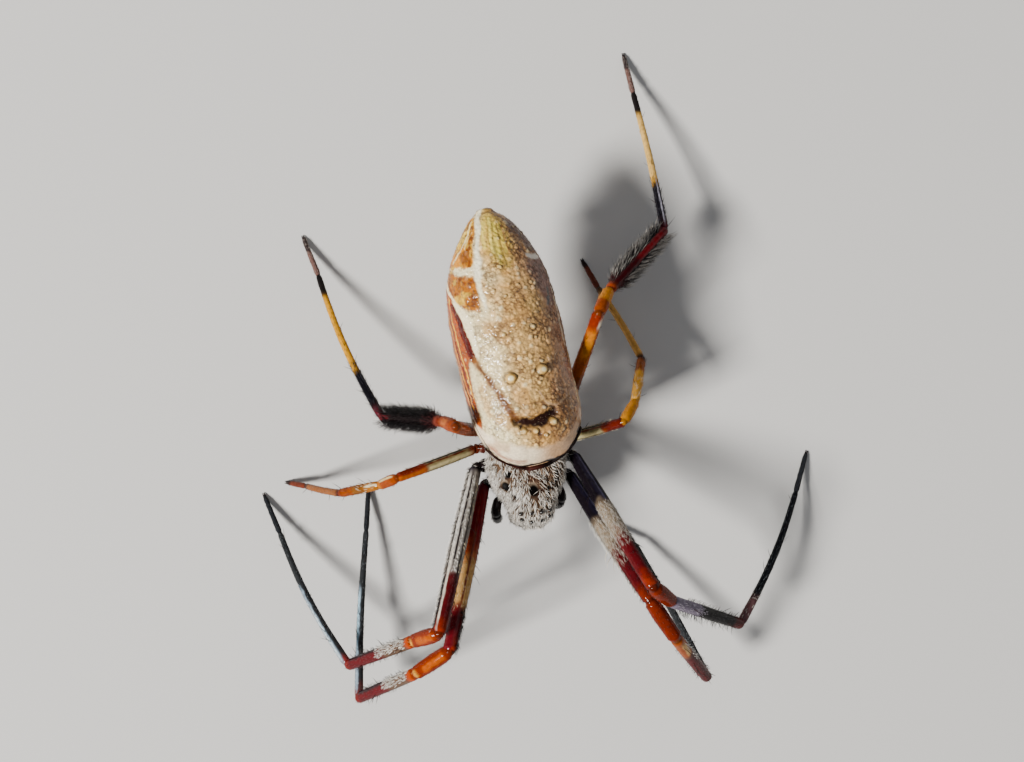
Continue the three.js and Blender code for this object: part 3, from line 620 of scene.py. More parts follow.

# Filled marks over the network, as above. The last is the dark fold near the front, its dark brown partly
# painted shade in its hollow
ABDOMEN_PATCHES = [
    ("f4e6bc", 0.1, 0.1, 1.0, [(0.793, -1.9), (0.753, -1.75), (0.704, -1.34), (0.645, -1.12),
     (0.575, -1.0), (0.511, -0.93), (0.454, -0.89), (0.447, -0.83), (0.507, -0.79), (0.572, -0.8),
     (0.61, -0.84), (0.64, -0.92), (0.672, -1.1), (0.741, -1.5)]),
    ("e6d6a8", 0.3, 0.3, 0.75, [(0.447, -1.08), (0.437, -0.9), (0.407, -0.89), (0.377, -0.98),
     (0.326, -0.98), (0.21, -0.94), (0.21, -1.1), (0.335, -1.12), (0.401, -1.11)]),
    ("540f06", 0.07, 0.09, 1.0, [(0.674, -1.4), (0.645, -1.3), (0.605, -1.22), (0.563, -1.17),
     (0.517, -1.13), (0.476, -1.08), (0.443, -1.0), (0.445, -0.9), (0.477, -0.9), (0.516, -0.93),
     (0.566, -0.99), (0.605, -1.06), (0.645, -1.14), (0.684, -1.3)]),
    # The fold: dark brown, partly painted shade in the hollow that the fold sinks into
    ("220e08", 0.17, 0.3, 1.0, [(0.205, -0.46), (0.18, -0.45), (0.163, -0.33), (0.156, -0.14),
     (0.156, 0.02), (0.16, 0.16), (0.17, 0.28), (0.19, 0.42), (0.217, 0.4), (0.213, 0.26), (0.204, 0.14),
     (0.198, 0.0), (0.2, -0.14), (0.204, -0.3)]),
]
FOLD = ABDOMEN_PATCHES[-1][-1]

# Raised lip behind the fold
LIP = [(0.245, -0.45), (0.222, -0.2), (0.215, 0.0), (0.222, 0.2), (0.245, 0.4)]

# Lines on the abdomen: colour, half width in mm, softness, waver in mm, strength, and places (share, angle)
ABDOMEN_STROKES = [
    # fan of lines near the tail
    ("e9cf60", 0.16, 0.6, 0.08, 0.85, [(0.957, -0.32), (0.907, -0.38), (0.862, -0.32)]),
    ("9a7c3a", 0.07, 0.7, 0.06, 0.75, [(0.959, -0.1), (0.903, -0.2), (0.85, -0.17)]),
    ("e9d264", 0.12, 0.6, 0.08, 0.9, [(0.97, -0.02), (0.901, -0.13), (0.842, -0.13)]),
    ("9a8a42", 0.08, 0.7, 0.06, 0.8, [(0.947, 0.05), (0.885, -0.06), (0.834, -0.07), (0.793, -0.02)]),
    ("e4cc50", 0.09, 0.6, 0.08, 0.9, [(0.951, 0.12), (0.887, 0.02), (0.832, 0.01)]),
    ("8c7438", 0.07, 0.7, 0.06, 0.8, [(0.945, 0.23), (0.887, 0.12), (0.834, 0.1), (0.783, 0.1)]),
    ("e0c450", 0.09, 0.6, 0.08, 0.7, [(0.941, 0.3), (0.882, 0.19), (0.832, 0.19)]),
    ("8a5a34", 0.07, 0.7, 0.05, 0.7, [(0.931, 0.37), (0.87, 0.27), (0.822, 0.26)]),
    ("744c28", 0.08, 0.7, 0.08, 0.7, [(0.995, -0.4), (0.998, 0.2), (0.985, 0.5), (0.961, 0.75)]),
    # pale stripe from the tail, and pale bands between the orange patches
    ("f6eccc", 0.2, 0.45, 0.1, 1.0, [(1.0, -0.9), (0.986, -0.76), (0.941, -0.53), (0.88, -0.54),
     (0.818, -0.53)]),
    ("f6eccc", 0.3, 0.5, 0.14, 1.0, [(0.818, -0.53), (0.788, -0.58), (0.755, -0.55)]),
    ("f6eac4", 0.17, 0.6, 0.12, 1.0, [(0.755, -0.55), (0.711, -0.53), (0.64, -0.48)]),
    ("e6dab0", 0.17, 0.5, 0.1, 1.0, [(0.804, -1.25), (0.788, -1.0), (0.793, -0.7)]),
    ("e6d09a", 0.08, 0.6, 0.07, 0.9, [(0.97, -1.1), (0.921, -1.0), (0.872, -1.15), (0.832, -1.45)]),
    ("e6c878", 0.06, 0.6, 0.07, 0.8, [(0.931, -0.82), (0.901, -0.95), (0.877, -0.98)]),
    ("743c1c", 0.09, 0.6, 0.09, 0.75, [(0.951, -0.9), (0.911, -0.84), (0.872, -0.8)]),
    ("743c1c", 0.07, 0.6, 0.07, 0.7, [(0.793, -1.55), (0.743, -1.4), (0.704, -1.24)]),
    # red-brown core of the long streak, and the streaks of the flank under it
    ("340a06", 0.12, 0.6, 0.08, 0.8, [(0.645, -1.2), (0.575, -1.08), (0.506, -1.02), (0.457, -0.95)]),
    ("541608", 0.11, 0.5, 0.06, 0.95, [(0.664, -1.56), (0.566, -1.46), (0.467, -1.38), (0.368, -1.31),
     (0.259, -1.22)]),
    ("e9b430", 0.055, 0.5, 0.05, 0.95, [(0.704, -1.46), (0.605, -1.4), (0.506, -1.31), (0.417, -1.25),
     (0.309, -1.19)]),
    ("e8a828", 0.055, 0.5, 0.05, 0.9, [(0.704, -1.7), (0.585, -1.54), (0.477, -1.47), (0.368, -1.4),
     (0.269, -1.3)]),
    ("4a1408", 0.12, 0.5, 0.06, 0.95, [(0.704, -1.85), (0.566, -1.66), (0.457, -1.55), (0.338, -1.44),
     (0.21, -1.32)]),
    ("e0a850", 0.08, 0.5, 0.06, 0.9, [(0.783, -1.85), (0.645, -1.75), (0.526, -1.66), (0.408, -1.56),
     (0.259, -1.44)]),
    ("502018", 0.12, 0.5, 0.06, 0.9, [(0.605, -1.9), (0.467, -1.75), (0.309, -1.62), (0.19, -1.46),
     (0.111, -1.3)]),
    # brown line from the flank to the dark fold
    ("7c4c20", 0.32, 0.8, 0.14, 0.9, [(0.447, -0.93), (0.379, -0.75), (0.322, -0.61), (0.266, -0.52),
     (0.21, -0.4)]),
    ("4c2a14", 0.14, 0.9, 0.1, 0.75, [(0.427, -0.88), (0.379, -0.75), (0.322, -0.61), (0.259, -0.5),
     (0.2, -0.38)]),
    # dark dots round the fold
    ("45302a", 0.14, 0.8, 0.05, 0.9, [(0.129, -0.01), (0.123, 0.01)]),
    ("4c362c", 0.12, 0.8, 0.05, 0.85, [(0.149, -0.2), (0.145, -0.17)]),
    ("5c4632", 0.12, 0.9, 0.05, 0.6, [(0.248, 0.03), (0.242, 0.06)]),
    ("5c4632", 0.09, 0.9, 0.05, 0.6, [(0.139, 0.46), (0.135, 0.48)]),
    # pale lines on the left-hand side, with the dark flank outside them
    ("e6dccc", 0.17, 0.5, 0.1, 1.0, [(0.804, 0.7), (0.793, 0.88), (0.793, 1.1)]),
    ("536464", 0.15, 0.8, 0.08, 0.7, [(0.664, 0.95), (0.645, 0.9), (0.605, 0.78)]),
    ("e6d4b4", 0.1, 0.5, 0.06, 1.0, [(0.724, 1.27), (0.664, 1.17), (0.605, 1.14), (0.506, 1.1),
     (0.437, 1.1)]),
    ("3e2820", 0.12, 0.5, 0.06, 0.9, [(0.862, 1.4), (0.743, 1.36), (0.645, 1.28), (0.526, 1.24),
     (0.427, 1.24)]),
    ("e6cc98", 0.1, 0.6, 0.08, 0.9, [(0.408, 1.22), (0.309, 1.24), (0.21, 1.2)]),
    # pale meshes in the network of the left-hand front
    ("c8a27c", 0.07, 0.7, 0.08, 0.7, [(0.288, 0.14), (0.238, 0.22), (0.222, 0.41), (0.25, 0.81)]),
    ("c8a27c", 0.07, 0.7, 0.08, 0.6, [(0.408, 0.45), (0.348, 0.55), (0.289, 0.5), (0.269, 0.7)]),
]

# Creases of the flanks and pale bars of the belly: shares of the length
CREASES = (0.3, 0.42, 0.56, 0.68, 0.79, 0.87)
BELLY_BARS = (0.27, 0.5, 0.62)

# Columns round the abdomen: fine ones over the back and flanks, up to BACK_END from the middle line
BACK_END = 2.1
BACK_COLUMNS = 230
BELLY_COLUMNS = 22

# Relief of the back in mm
PEBBLE_SIZE = 0.4
PEBBLE_HEIGHT = 0.08
GRAIN_SIZE = 0.23
GRAIN_HEIGHT = 0.06
FOLD_DEPTH = 0.3
LIP_HEIGHT = 0.1
CREASE_DEPTH = 0.03
RING_DEPTH = 0.07
SINK = 0.03


def stroke_distance(share, angle, places):
    """Distance in mm over the abdomen to a line of places"""
    round_size = 0.95 * abdomen_half_width(share)
    x = angle * round_size
    y = share * ABDOMEN_LENGTH
    nearest = np.full(share.shape, 99.0)
    for (share_a, angle_a), (share_b, angle_b) in zip(places, places[1:]):
        ax, ay = angle_a * round_size, share_a * ABDOMEN_LENGTH
        bx, by = angle_b * round_size, share_b * ABDOMEN_LENGTH
        dx, dy = bx - ax, by - ay
        t = np.clip(((x - ax) * dx + (y - ay) * dy) / (dx * dx + dy * dy + 1e-9), 0, 1)
        nearest = np.minimum(nearest, np.hypot(x - ax - t * dx, y - ay - t * dy))
    return nearest


def patch_distance(share, angle, corners):
    """Distance in mm over the abdomen to an outline, below zero inside it"""
    inside = np.zeros(share.shape, bool)
    for (share_a, angle_a), (share_b, angle_b) in zip(corners, corners[1:] + corners[:1]):
        spans = (share_a > share) != (share_b > share)
        if share_a != share_b:
            crossing = angle_a + (share - share_a) * (angle_b - angle_a) / (share_b - share_a)
            inside ^= spans & (angle < crossing)
    return stroke_distance(share, angle, corners + corners[:1]) * np.where(inside, -1, 1)


class Abdomen:
    """The abdomen's skin, with its relief and its colours"""

    def __init__(self):
        shares = np.concatenate([np.linspace(0, 0.1, 36)[:-1], np.linspace(0.1, 0.9, 270)[:-1],
                                 np.linspace(0.9, 1, 40)])
        rows = rounded_rows(shares, 0.06, 7, 0.35, 0.3)
        angles = np.concatenate([np.linspace(-math.pi, -BACK_END, BELLY_COLUMNS, endpoint=False),
                                 np.linspace(-BACK_END, BACK_END, BACK_COLUMNS, endpoint=False),
                                 np.linspace(BACK_END, math.pi, BELLY_COLUMNS, endpoint=False)])
        self.share, self.angle = np.meshgrid(rows[:, 0], angles, indexing="ij")
        self.size = rows[:, 1][:, None]
        self.local = abdomen_point(self.share, self.angle, self.size, rows[:, 2][:, None])
        self.skin = Skin(body_place(ABDOMEN_TURN, self.local))
        self.away = np.abs(self.angle)
        self.back = 1 - step(1.1, 1.7, self.away)
        self.ragged = 0.7 * self.noise(0.7, 19) + 0.5 * self.noise(0.28, 20)
        self.side = self.angle + 0.3 * self.noise(1.3, 11)
        # 0 on the smooth ivory rim round the front, and 1 behind it
        rim_end = 0.074 + 0.071 * (self.angle - 0.05) ** 2 + 0.05 * step(0.8, 1.2, self.angle)
        self.band = step(-0.014, 0.014, self.share - rim_end + 0.012 * self.ragged)
        self.near, self.second, self.number = pebbles(self.local, PEBBLE_SIZE, 3)
        self.fine_near, self.fine_second, self.fine_number = pebbles(self.local, GRAIN_SIZE, 5)
        orange = np.min([self.to_patch(ABDOMEN_FIELDS[k][-1]) for k in ORANGE_FIELDS], axis=0)
        self.orange = 1 - step(-0.15, 0.1, orange + 0.15 * self.ragged)
        # What is button, button top with its painted highlight, and ring round a button with its painted
        # shade, from 0 to 1
        self.button, self.button_highlight, self.ring = np.zeros((3, *self.share.shape))

    def noise(self, size, seed):
        """Smooth noise over the abdomen"""
        return ripple(self.local, size, seed)

    def to_stroke(self, places):
        """Distance in mm to a line"""
        return stroke_distance(self.share, self.angle, places)

    def to_patch(self, corners):
        """Distance in mm to an outline, below zero inside it"""
        return patch_distance(self.share, self.angle, corners)

    def to_spot(self, share, angle):
        """Distance in mm to one place"""
        return self.to_stroke([(share, angle), (share + 1e-4, angle)])

    def shape(self):
        """Soft swells, pebbled back, buttons, dimples, creases, and the dark fold with its lip"""
        pebble = np.clip(1 - (self.near / 0.62) ** 2, 0, 1) * (0.35 + 0.9 * self.number ** 3)
        grain = np.clip(1 - (self.fine_near / 0.6) ** 2, 0, 1) * (0.4 + 0.6 * self.fine_number)
        rough = (0.12 + 0.88 * self.band) * self.back * (1 - 0.6 * step(0.9, 0.99, self.share))
        height = 0.06 * self.noise(1.7, 1) + 0.035 * self.noise(0.75, 2)
        height += rough * (PEBBLE_HEIGHT * pebble + GRAIN_HEIGHT * grain - 0.04)
        height += 0.014 * (1 - self.back) * grain
        height = self.with_buttons(height)
        for share, angle, radius, deep in DIMPLES:
            height -= deep * bell(self.to_spot(share, angle), radius)
        height -= FOLD_DEPTH * (1 - step(-0.2, 0.16, self.to_patch(FOLD))) * (1 - self.button)
        height += LIP_HEIGHT * bell(self.to_stroke(LIP), 0.3)
        for crease in CREASES:
            lean = self.share - crease + 0.012 * np.cos(2 * self.angle)
            height -= CREASE_DEPTH * bell(lean, 0.006) * step(0.9, 1.4, self.away)
        self.skin.raise_by(height - SINK)

    def with_buttons(self, height):
        """Height with the buttons on it, each sunk a little into a ring"""
        uneven = 1 + 0.12 * self.noise(0.3, 22)
        for share, angle, radius, rise in BUTTONS:
            away = self.to_spot(share, angle) * uneven
            dome = np.sqrt(np.clip(1 - (away / radius) ** 2, 0, 1))
            ring = bell(away - radius * 1.16, 0.16 * radius + 0.03)
            height = height * (1 - step(0, 0.6, dome)) + rise * dome ** 0.8 - RING_DEPTH * ring
            strength = min(1.0, rise / 0.2)
            self.button = np.maximum(self.button, strength * step(0.1, 0.6, dome))
            # The top of each dome, where a highlight is painted
            self.button_highlight = np.maximum(self.button_highlight, strength * step(0.78, 0.98, dome))
            self.ring = np.maximum(self.ring, strength * ring)
        return height

    def fill(self, paint, marks):
        """Paint with filled marks over it"""
        for code, soft, waver, strength, corners in marks:
            distance = self.to_patch(corners) + waver * self.ragged
            paint = tinted(paint, code, (1 - step(-soft, soft, distance)) * strength)
        return paint

    def ground(self):
        """Ivory on the right-hand side, golden tan along the middle, taupe on the left-hand side: partly the
        back's own colours, and partly painted light on the right and painted shade on the left
        """
        side = self.side
        # Ivory to taupe across the back: partly painted light on the right-hand side and painted shade on the
        # left
        paint = two_tone("f2e2b0", "e4b870", step(-0.95, 0.0, side))
        paint = tinted(paint, "cc9468", step(0.1, 0.95, side) * (1 - 0.3 * step(0.5, 0.8, self.share)))
        patchy = step(-0.1, 0.7, self.noise(1.4, 12) + 0.6 * self.noise(0.55, 13))
        paint = mixed(paint, two_tone("d0903a", "986850", step(-0.2, 0.7, side)), 0.5 * patchy)
        return self.fill(paint, ABDOMEN_FIELDS)

    def flecks(self, paint):
        """Yellow and brown flecks in the two orange patches, and pebbles of uneven brightness"""
        paint = tinted(paint, "e9bc3c", 0.75 * self.orange * step(0.0, 0.5, self.noise(0.5, 23)))
        paint = tinted(paint, "703008", 0.8 * self.orange * step(0.15, 0.5, self.noise(0.36, 24)))
        return paint * (0.82 + 0.4 * self.number * self.band + 0.18 * (1 - self.band))[..., None]

    def network(self, paint):
        """Brown network round the pebbles, with some bright pebbles, partly painted glints, and dark specks
        """
        shift = 0.1 * self.noise(0.2, 14)
        net = 1 - step(0.03, 0.26, self.second - self.near + shift)
        fine_net = 1 - step(0.02, 0.24, self.fine_second - self.fine_near + shift)
        patchy = np.clip(0.66 + 0.6 * self.noise(0.9, 15), 0, 1)
        # The fan of lines near the tail shows through it
        fan = step(0.77, 0.86, self.share) * (1 - step(0.25, 0.5, np.abs(self.angle + 0.05)))
        strength = self.band * patchy * (0.58 + 0.3 * step(-0.9, 0.2, self.side)) * self.back
        strength = strength * (1 - 0.45 * fan)
        paint = tinted(paint, "583c24", net * strength)
        paint = tinted(paint, "583a2c", fine_net * strength * 0.85)
        specks = step(0.76, 0.84, self.fine_number) * (1 - step(0.22, 0.42, self.fine_near)) * self.band
        paint = tinted(paint, "54443a", specks * 0.85)
        # Pale pebbles: partly a painted highlight, standing in for glints on the skin
        bright = step(0.75, 1.0, self.number) * (1 - step(0.1, 0.6, self.near + 0.2 * self.ragged))
        return tinted(paint, "f4e6b8", 0.7 * bright * self.band * self.back * (1 - 0.8 * self.orange))

    def rim(self, paint):
        """The smooth ivory rim round the front, ivory on the right-hand side and tan on the left, the ivory
        partly a painted highlight
        """
        # Ivory on the right-hand side is partly a painted highlight, tan on the left partly painted shade
        rim = two_tone("f0debe", "c8a07a", step(-0.6, 0.45, self.angle + 0.3 * self.noise(1.1, 27)))
        rim = tinted(rim, "b8926c", 0.6 * step(0.0, 0.6, self.noise(0.8, 28)) * step(0.04, 0.1, self.share))
        return mixed(rim, paint, np.clip(self.band, 0.06, 1))

    def belly(self, paint):
        """Brown left flank, and a dark belly with pale spots and bars"""
        flank = two_tone("8e5431", "4a2c20", step(-0.25, 0.3, self.noise(0.5, 16)))
        left = self.angle > 0
        paint = mixed(paint, flank, step(1.35, 1.6, self.away) * step(0.02, 0.12, self.share) * left)
        belly = two_tone("3a2b24", "614c37", step(-0.4, 0.6, self.noise(0.8, 17)))
        spots = step(0.55, 0.75, self.number) * (1 - step(0.3, 0.55, self.near))
        belly = tinted(belly, "e9c244", spots * 0.8)
        for share in BELLY_BARS:
            bar = np.exp(-((self.share - share) / 0.014) ** 4) * step(2.1, 2.5, self.away)
            belly = tinted(belly, "e4c256", bar * 0.85)
        return mixed(paint, belly, step(2.0, 2.45, self.away + 0.1 * self.noise(0.7, 18)))

    def marks(self, paint):
        """Filled marks and lines over the network"""
        paint = self.fill(paint, ABDOMEN_PATCHES)
        for code, width, soft, waver, strength, places in ABDOMEN_STROKES:
            distance = self.to_stroke(places) + waver * self.ragged
            cover = 1 - step(width * (1 - soft), width * (1 + soft), distance)
            paint = tinted(paint, code, cover * strength)
        return paint

    def margin(self, paint):
        """Dark skin below the ivory rim, red-brown where it meets the rim on the right-hand side"""
        lean = self.skin.normal[..., 2] + 0.05 * self.ragged
        front = 1 - step(0.1, 0.15, self.share)
        margin = (1 - step(0.4, 0.48, lean)) * front * (self.away < 2)
        front_cap = (self.share < 0.001) & (self.size < 0.98)
        paint = tinted(paint, "160a08", np.maximum(margin, front_cap))
        red = bell(lean - 0.56, 0.07) * front * (1 - step(-0.6, -0.3, self.angle))
        return tinted(paint, "8c3a1c", 0.7 * red)

    def buttons(self, paint):
        """Golden buttons with cream tops that carry a painted highlight, each in a dark ring of painted shade
        in its groove
        """
        # The dark ring is painted shade in the groove round each button, and the cream top a painted
        # highlight
        paint = tinted(paint, "4a3214", 0.78 * self.ring)
        paint = tinted(paint, "cfa65c", self.button)
        return tinted(paint, "f4e6b4", self.button_highlight)

    def coat(self):
        """Very fine short hairs, thin on the back and longer on the flanks"""
        coat = Coat()
        random = np.random.default_rng(101)
        clear = (1 - self.button) * step(0.02, 0.1, self.share)
        flank = step(1.0, 1.5, self.away)
        coat.add(self.skin, random, 12, clear * (1 - flank), 0.22, 0.022, 0.35, 0.2, "bfa274", "e6d8b4",
                 own=0.3, spread=0.5)
        coat.add(self.skin, random, 20, clear * flank, 0.3, 0.024, 0.45, 0.2, "7c654f", "e3ce9c",
                 own=0.3, spread=0.5)
        coat.make("abdomen_hair", HAIR, "abdomen_skin")


def build_abdomen():
    """The abdomen with its colours laid one over the other, its front edge and its down"""
    abdomen = Abdomen()
    abdomen.shape()
    paint = abdomen.ground()
    for layer in (abdomen.flecks, abdomen.network, abdomen.rim, abdomen.belly, abdomen.marks, abdomen.margin,
                  abdomen.buttons):
        paint = layer(paint)
    abdomen.skin.paint = paint
    piece = abdomen.skin.make("abdomen_skin", ABDOMEN_SKIN, "abdomen_skin")
    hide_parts("abdomen")
    build_front_edge(abdomen)
    abdomen.coat()


# The dark edge of the abdomen: how far round it reaches in radians, how level the skin is that it lies on,
# and its radius in mm
EDGE_REACH = 1.75
EDGE_LEVEL = 0.44
EDGE_RADIUS = 0.18


def build_front_edge(abdomen):
    """The dark rounded edge that lies along the front of the back, below the ivory rim"""
    skin = abdomen.skin
    columns = np.where(np.abs(abdomen.angle[0]) < EDGE_REACH)[0]
    # The first ring, from the front, where the skin is no longer steep
    gentle = (skin.normal[:, columns, 2] > EDGE_LEVEL) | (abdomen.share[:, columns] > 0.1)
    rows = evened(np.argmax(gentle, axis=0).astype(float), 60).round().astype(int)
    places = evened(skin.rings[rows, columns] + 0.04 * skin.normal[rows, columns], 20)[::3]
    across = np.linspace(-1, 1, len(places))
    edge = limb_skin(places, EDGE_RADIUS * (1 - 0.45 * across ** 2), 14, 200)
    edge.raise_by(0.03 * ripple(edge.rings, 0.5, 25))
    red = np.linspace(1, 0, edge.rows)[:, None] + 0.4 * ripple(edge.rings, 0.6, 26)
    edge.paint = two_tone("100706", "341009", step(0.4, 1.0, red))
    edge.make("abdomen_edge", DARK_EDGE, "joint_skin")


# The shield: tables from front to rear, as in the source
SHIELD_WIDTH_TABLE = [
    (0, 0.34), (0.03, 0.47), (0.08, 0.55), (0.16, 0.61), (0.26, 0.7), (0.38, 0.87), (0.5, 0.97), (0.62, 1),
    (0.76, 0.94), (0.88, 0.76), (0.96, 0.52), (1, 0.3),
]
SHIELD_HEIGHT_TABLE = [
    (0, 0.45), (0.04, 0.72), (0.12, 0.9), (0.22, 1), (0.36, 0.98), (0.5, 0.78), (0.66, 0.66), (0.8, 0.56),
    (0.92, 0.34), (1, 0.08),
]

# Bare dark spots on the shield: place along it, place across it, half length and half width in mm
BARE_SPOTS = [
    (0.521, -0.587, 0.24, 0.24), (0.413, -0.731, 0.34, 0.26), (0.349, -0.01, 0.4, 0.36),
    (0.451, 0.715, 0.46, 0.2), (0.547, 0.635, 0.16, 0.18), (0.329, 0.467, 0.4, 0.12),
    (0.311, -0.571, 0.18, 0.16), (0.152, 0.23, 0.18, 0.15), (0.136, -0.206, 0.2, 0.18),
    (0.593, -0.238, 0.15, 0.15),
]

# Rows along the shield, and columns across its top and its underside
SHIELD_ROWS = 150
SHIELD_TOP_COLUMNS = 150
SHIELD_UNDER_COLUMNS = 50

# Where the rays of the shield meet in its pit, and their turns to the sides in radians
PIT_SHARE = 0.62
RAYS = (0.0, 0.6, 1.2)

# Hair of the shield: stretch, hairs per square mm, length, thickness, lift, curl, root and tip colour, spread
# and how uneven its colours are
SHIELD_HAIR = [
    # More silver grows on the right-hand side and more tan on the left: partly painted light and painted
    # shade
    ("tan", 50, 0.5, 0.07, 0.3, 0.35, "6c5444", "dcbc9c", 0.45, 0.35),
    ("silver", 100, 0.62, 0.08, 0.34, 0.4, "b8b0a8", "e9e6de", 0.4, 0.2),
    ("rear", 16, 0.75, 0.055, 0.5, 0.3, "d8ccbc", "e9e6de", 0.45, 0.1),
    ("front", 170, 0.42, 0.06, 0.36, 0.35, "a49a90", "e9e6de", 0.4, 0.3),
    ("front", 12, 0.8, 0.05, 0.5, 0.3, "c8beb2", "e9e6de", 0.4, 0.2),
    ("edge", 50, 0.6, 0.075, 0.6, 0.3, "b8aca0", "e9e6de", 0.5, 0.12),
]


def shield_half_width(share):
    """Half the shield's width in mm at a share of its length"""
    return SHIELD_HALF_WIDTH * smooth_table(SHIELD_WIDTH_TABLE, share)


def shield_top(share, side):
    """Height of the shield over the waist. side runs from -1 to 1 across it"""
    crown = SHIELD_PEAK * smooth_table(SHIELD_HEIGHT_TABLE, share)
    across = np.abs(side)
    dome = np.sqrt(np.clip(1 - across ** 2.3, 0, 1))
    furrow = 0.16 * bell(share - 0.56 + 0.26 * across, 0.045)
    pit = 0.14 * bell(share - PIT_SHARE, 0.05) * bell(side, 0.12)
    ray = 0
    for turn in RAYS:
        line = (share - PIT_SHARE) * math.cos(turn) * 2.7 - (across - 0.05) * math.sin(turn)
        ray = ray + 0.05 * bell(line, 0.04) * step(0.1, 0.35, across)
    return SHIELD_RIM_HEIGHT + crown * dome - (furrow + pit + ray) * (1 - 0.8 * step(0.7, 1, across))


def bare_share(share, side, larger=1.0):
    """How bare of hair the shield is, from 0 to 1"""
    bare = np.zeros_like(share)
    for at, across, half_length, half_width in BARE_SPOTS:
        y = (share - at) * SHIELD_LENGTH / half_length / larger
        x = (side - across) * shield_half_width(share) / half_width / larger
        bare = np.maximum(bare, 1 - step(0.7, 1.25, np.hypot(x, y)))
    return bare


class Shield:
    """The shield's skin, with its colours and its hair"""

    def __init__(self):
        rows = rounded_rows(np.linspace(0, 1, SHIELD_ROWS), 0.08, 6, 0.3, 0.2)
        top = np.linspace(0, math.pi, SHIELD_TOP_COLUMNS)
        under = np.linspace(0, math.pi, SHIELD_UNDER_COLUMNS + 2)[1:-1]
        side = np.concatenate([-np.cos(top), np.cos(under)])
        under_depth = np.concatenate([np.zeros(len(top)), np.sin(under)])
        self.share, self.side = np.meshgrid(rows[:, 0], side, indexing="ij")
        on_top = np.concatenate([np.ones(len(top)), np.zeros(len(under))])
        self.on_top = np.broadcast_to(on_top, self.share.shape)
        size = rows[:, 1][:, None]
        x = self.side * (shield_half_width(self.share) - 0.08) * size
        y = SHIELD_FRONT + self.share * SHIELD_LENGTH + rows[:, 2][:, None]
        y = y + 0.12 * (1 - step(0, 0.1, self.share))
        middle = SHIELD_RIM_HEIGHT + 0.25 * SHIELD_PEAK * smooth_table(SHIELD_HEIGHT_TABLE, self.share)
        z_top = shield_top(self.share, self.side) - SHIELD_COAT_DEPTH
        z_under = SHIELD_RIM_HEIGHT - SHIELD_UNDERSIDE * under_depth
        z = middle + (np.where(self.on_top > 0, z_top, z_under) - middle) * size
        self.local = np.stack([x, y, z], -1)
        self.bare = bare_share(self.share, self.side) * self.on_top
        # Hair lies forward, so none grows just behind a bare spot either
        behind = np.max([bare_share(self.share - back, self.side) for back in (0.02, 0.035)], axis=0)
        self.behind = self.on_top * behind
        self.rear_centre = bell(self.side, 0.5) * bell(self.share - 0.55, 0.22)
        self.skin = Skin(on_head(self.local))
        near = pebbles(self.local, 0.16, 31)[0]
        self.skin.raise_by(0.02 * self.noise(0.5, 32) + 0.012 * (0.6 - near) + 0.03 * self.bare)
        self.skin.paint = self.colours()

    def noise(self, size, seed):
        """Smooth noise over the shield"""
        return ripple(self.local, size, seed)

    def colours(self):
        """Dark brown shell, paler where hair is thin, with black bare spots"""
        paint = two_tone("54402f", "2a1e18", step(-0.4, 0.5, self.noise(0.5, 33)))
        paint = tinted(paint, "5a4036", 0.7 * self.rear_centre)
        paint = tinted(paint, "8c7c6a", 0.85 * self.behind)
        paint = tinted(paint, "030202", bare_share(self.share, self.side, 1.2))
        return tinted(paint, "2c1d1a", 1 - self.on_top)

    def hair_flow(self):
        """Hair lies forward, fanned out a little to the sides"""
        share, side = self.share, self.side
        front = 1 - step(0.05, 0.25, share)
        across = 0.45 * np.sign(side) * np.abs(side) ** 1.5 * (1 - 0.5 * front) + 0.5 * self.noise(0.6, 34)
        fan = np.stack([across, -np.ones_like(share), -0.25 * np.ones_like(share)], -1)
        return unit(on_head(fan) - on_head([0, 0, 0]))

    def hair_weights(self):
        """Where the hair grows, in small clumps: silver on the right-hand side and tan on the left, a split
        that is partly painted light on the right and painted shade on the left
        """
        rear = step(0.06, 0.16, self.share)
        front = 1 - step(0.05, 0.25, self.share)
        right = 1 - step(-0.6, 0.1, self.side)
        open_skin = (1 - np.maximum(self.bare, 0.9 * self.behind)) ** 3 * self.on_top
        clump = 0.12 + 0.88 * step(-0.3, 0.25, self.noise(0.3, 36))
        # Silver on the right-hand side is partly painted light, and tan on the left partly painted shade
        silver = np.clip(0.35 + 0.5 * right + 0.3 * front - 0.55 * self.rear_centre, 0.08, 1)
        tan = np.clip(0.75 - 0.5 * right + 0.2 * self.rear_centre, 0.1, 1)
        edge = self.on_top * step(0.86, 0.97, np.abs(self.side)) * step(0.2, 0.4, self.share)
        return {"tan": open_skin * clump * tan * rear, "silver": open_skin * clump * silver * rear,
                "rear": open_skin * rear, "front": open_skin * (1 - rear), "edge": edge}

    def coat(self):
        """Short silver and tan hair"""
        coat = Coat()
        random = np.random.default_rng(41)
        flow = self.hair_flow()
        weights = self.hair_weights()
        for stretch, density, length, width, lift, curl, root, tip, spread, vary in SHIELD_HAIR:
            coat.add(self.skin, random, density, weights[stretch], length, width, lift, curl, root, tip,
                     lie=flow, spread=spread, vary=vary)
        coat.make("shield_hair", HAIR, "shield_coat")


def build_shield():
    """The shield's skin, which stands for the front half of the body, and its hair"""
    shield = Shield()
    piece = shield.skin.make("shield_skin", SHIELD_SKIN, "shield_coat")
    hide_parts("cephalothorax")
    shield.coat()


# Limbs
def sweep(centres, directions, radii, columns):
    """Rings round a line, carried along it without twisting"""
    wide = np.cross(UP, directions[0])
    if np.linalg.norm(wide) < 0.2:
        wide = np.cross([1.0, 0.0, 0.0], directions[0])
    angles = np.arange(columns) / columns * math.tau
    rings = []
    for centre, direction, radius in zip(centres, directions, radii):
        wide = unit(wide - direction * (wide @ direction))
        tall = np.cross(direction, wide)
        rings.append(centre + radius * (np.outer(np.cos(angles), wide) + np.outer(np.sin(angles), tall)))
    return np.array(rings)


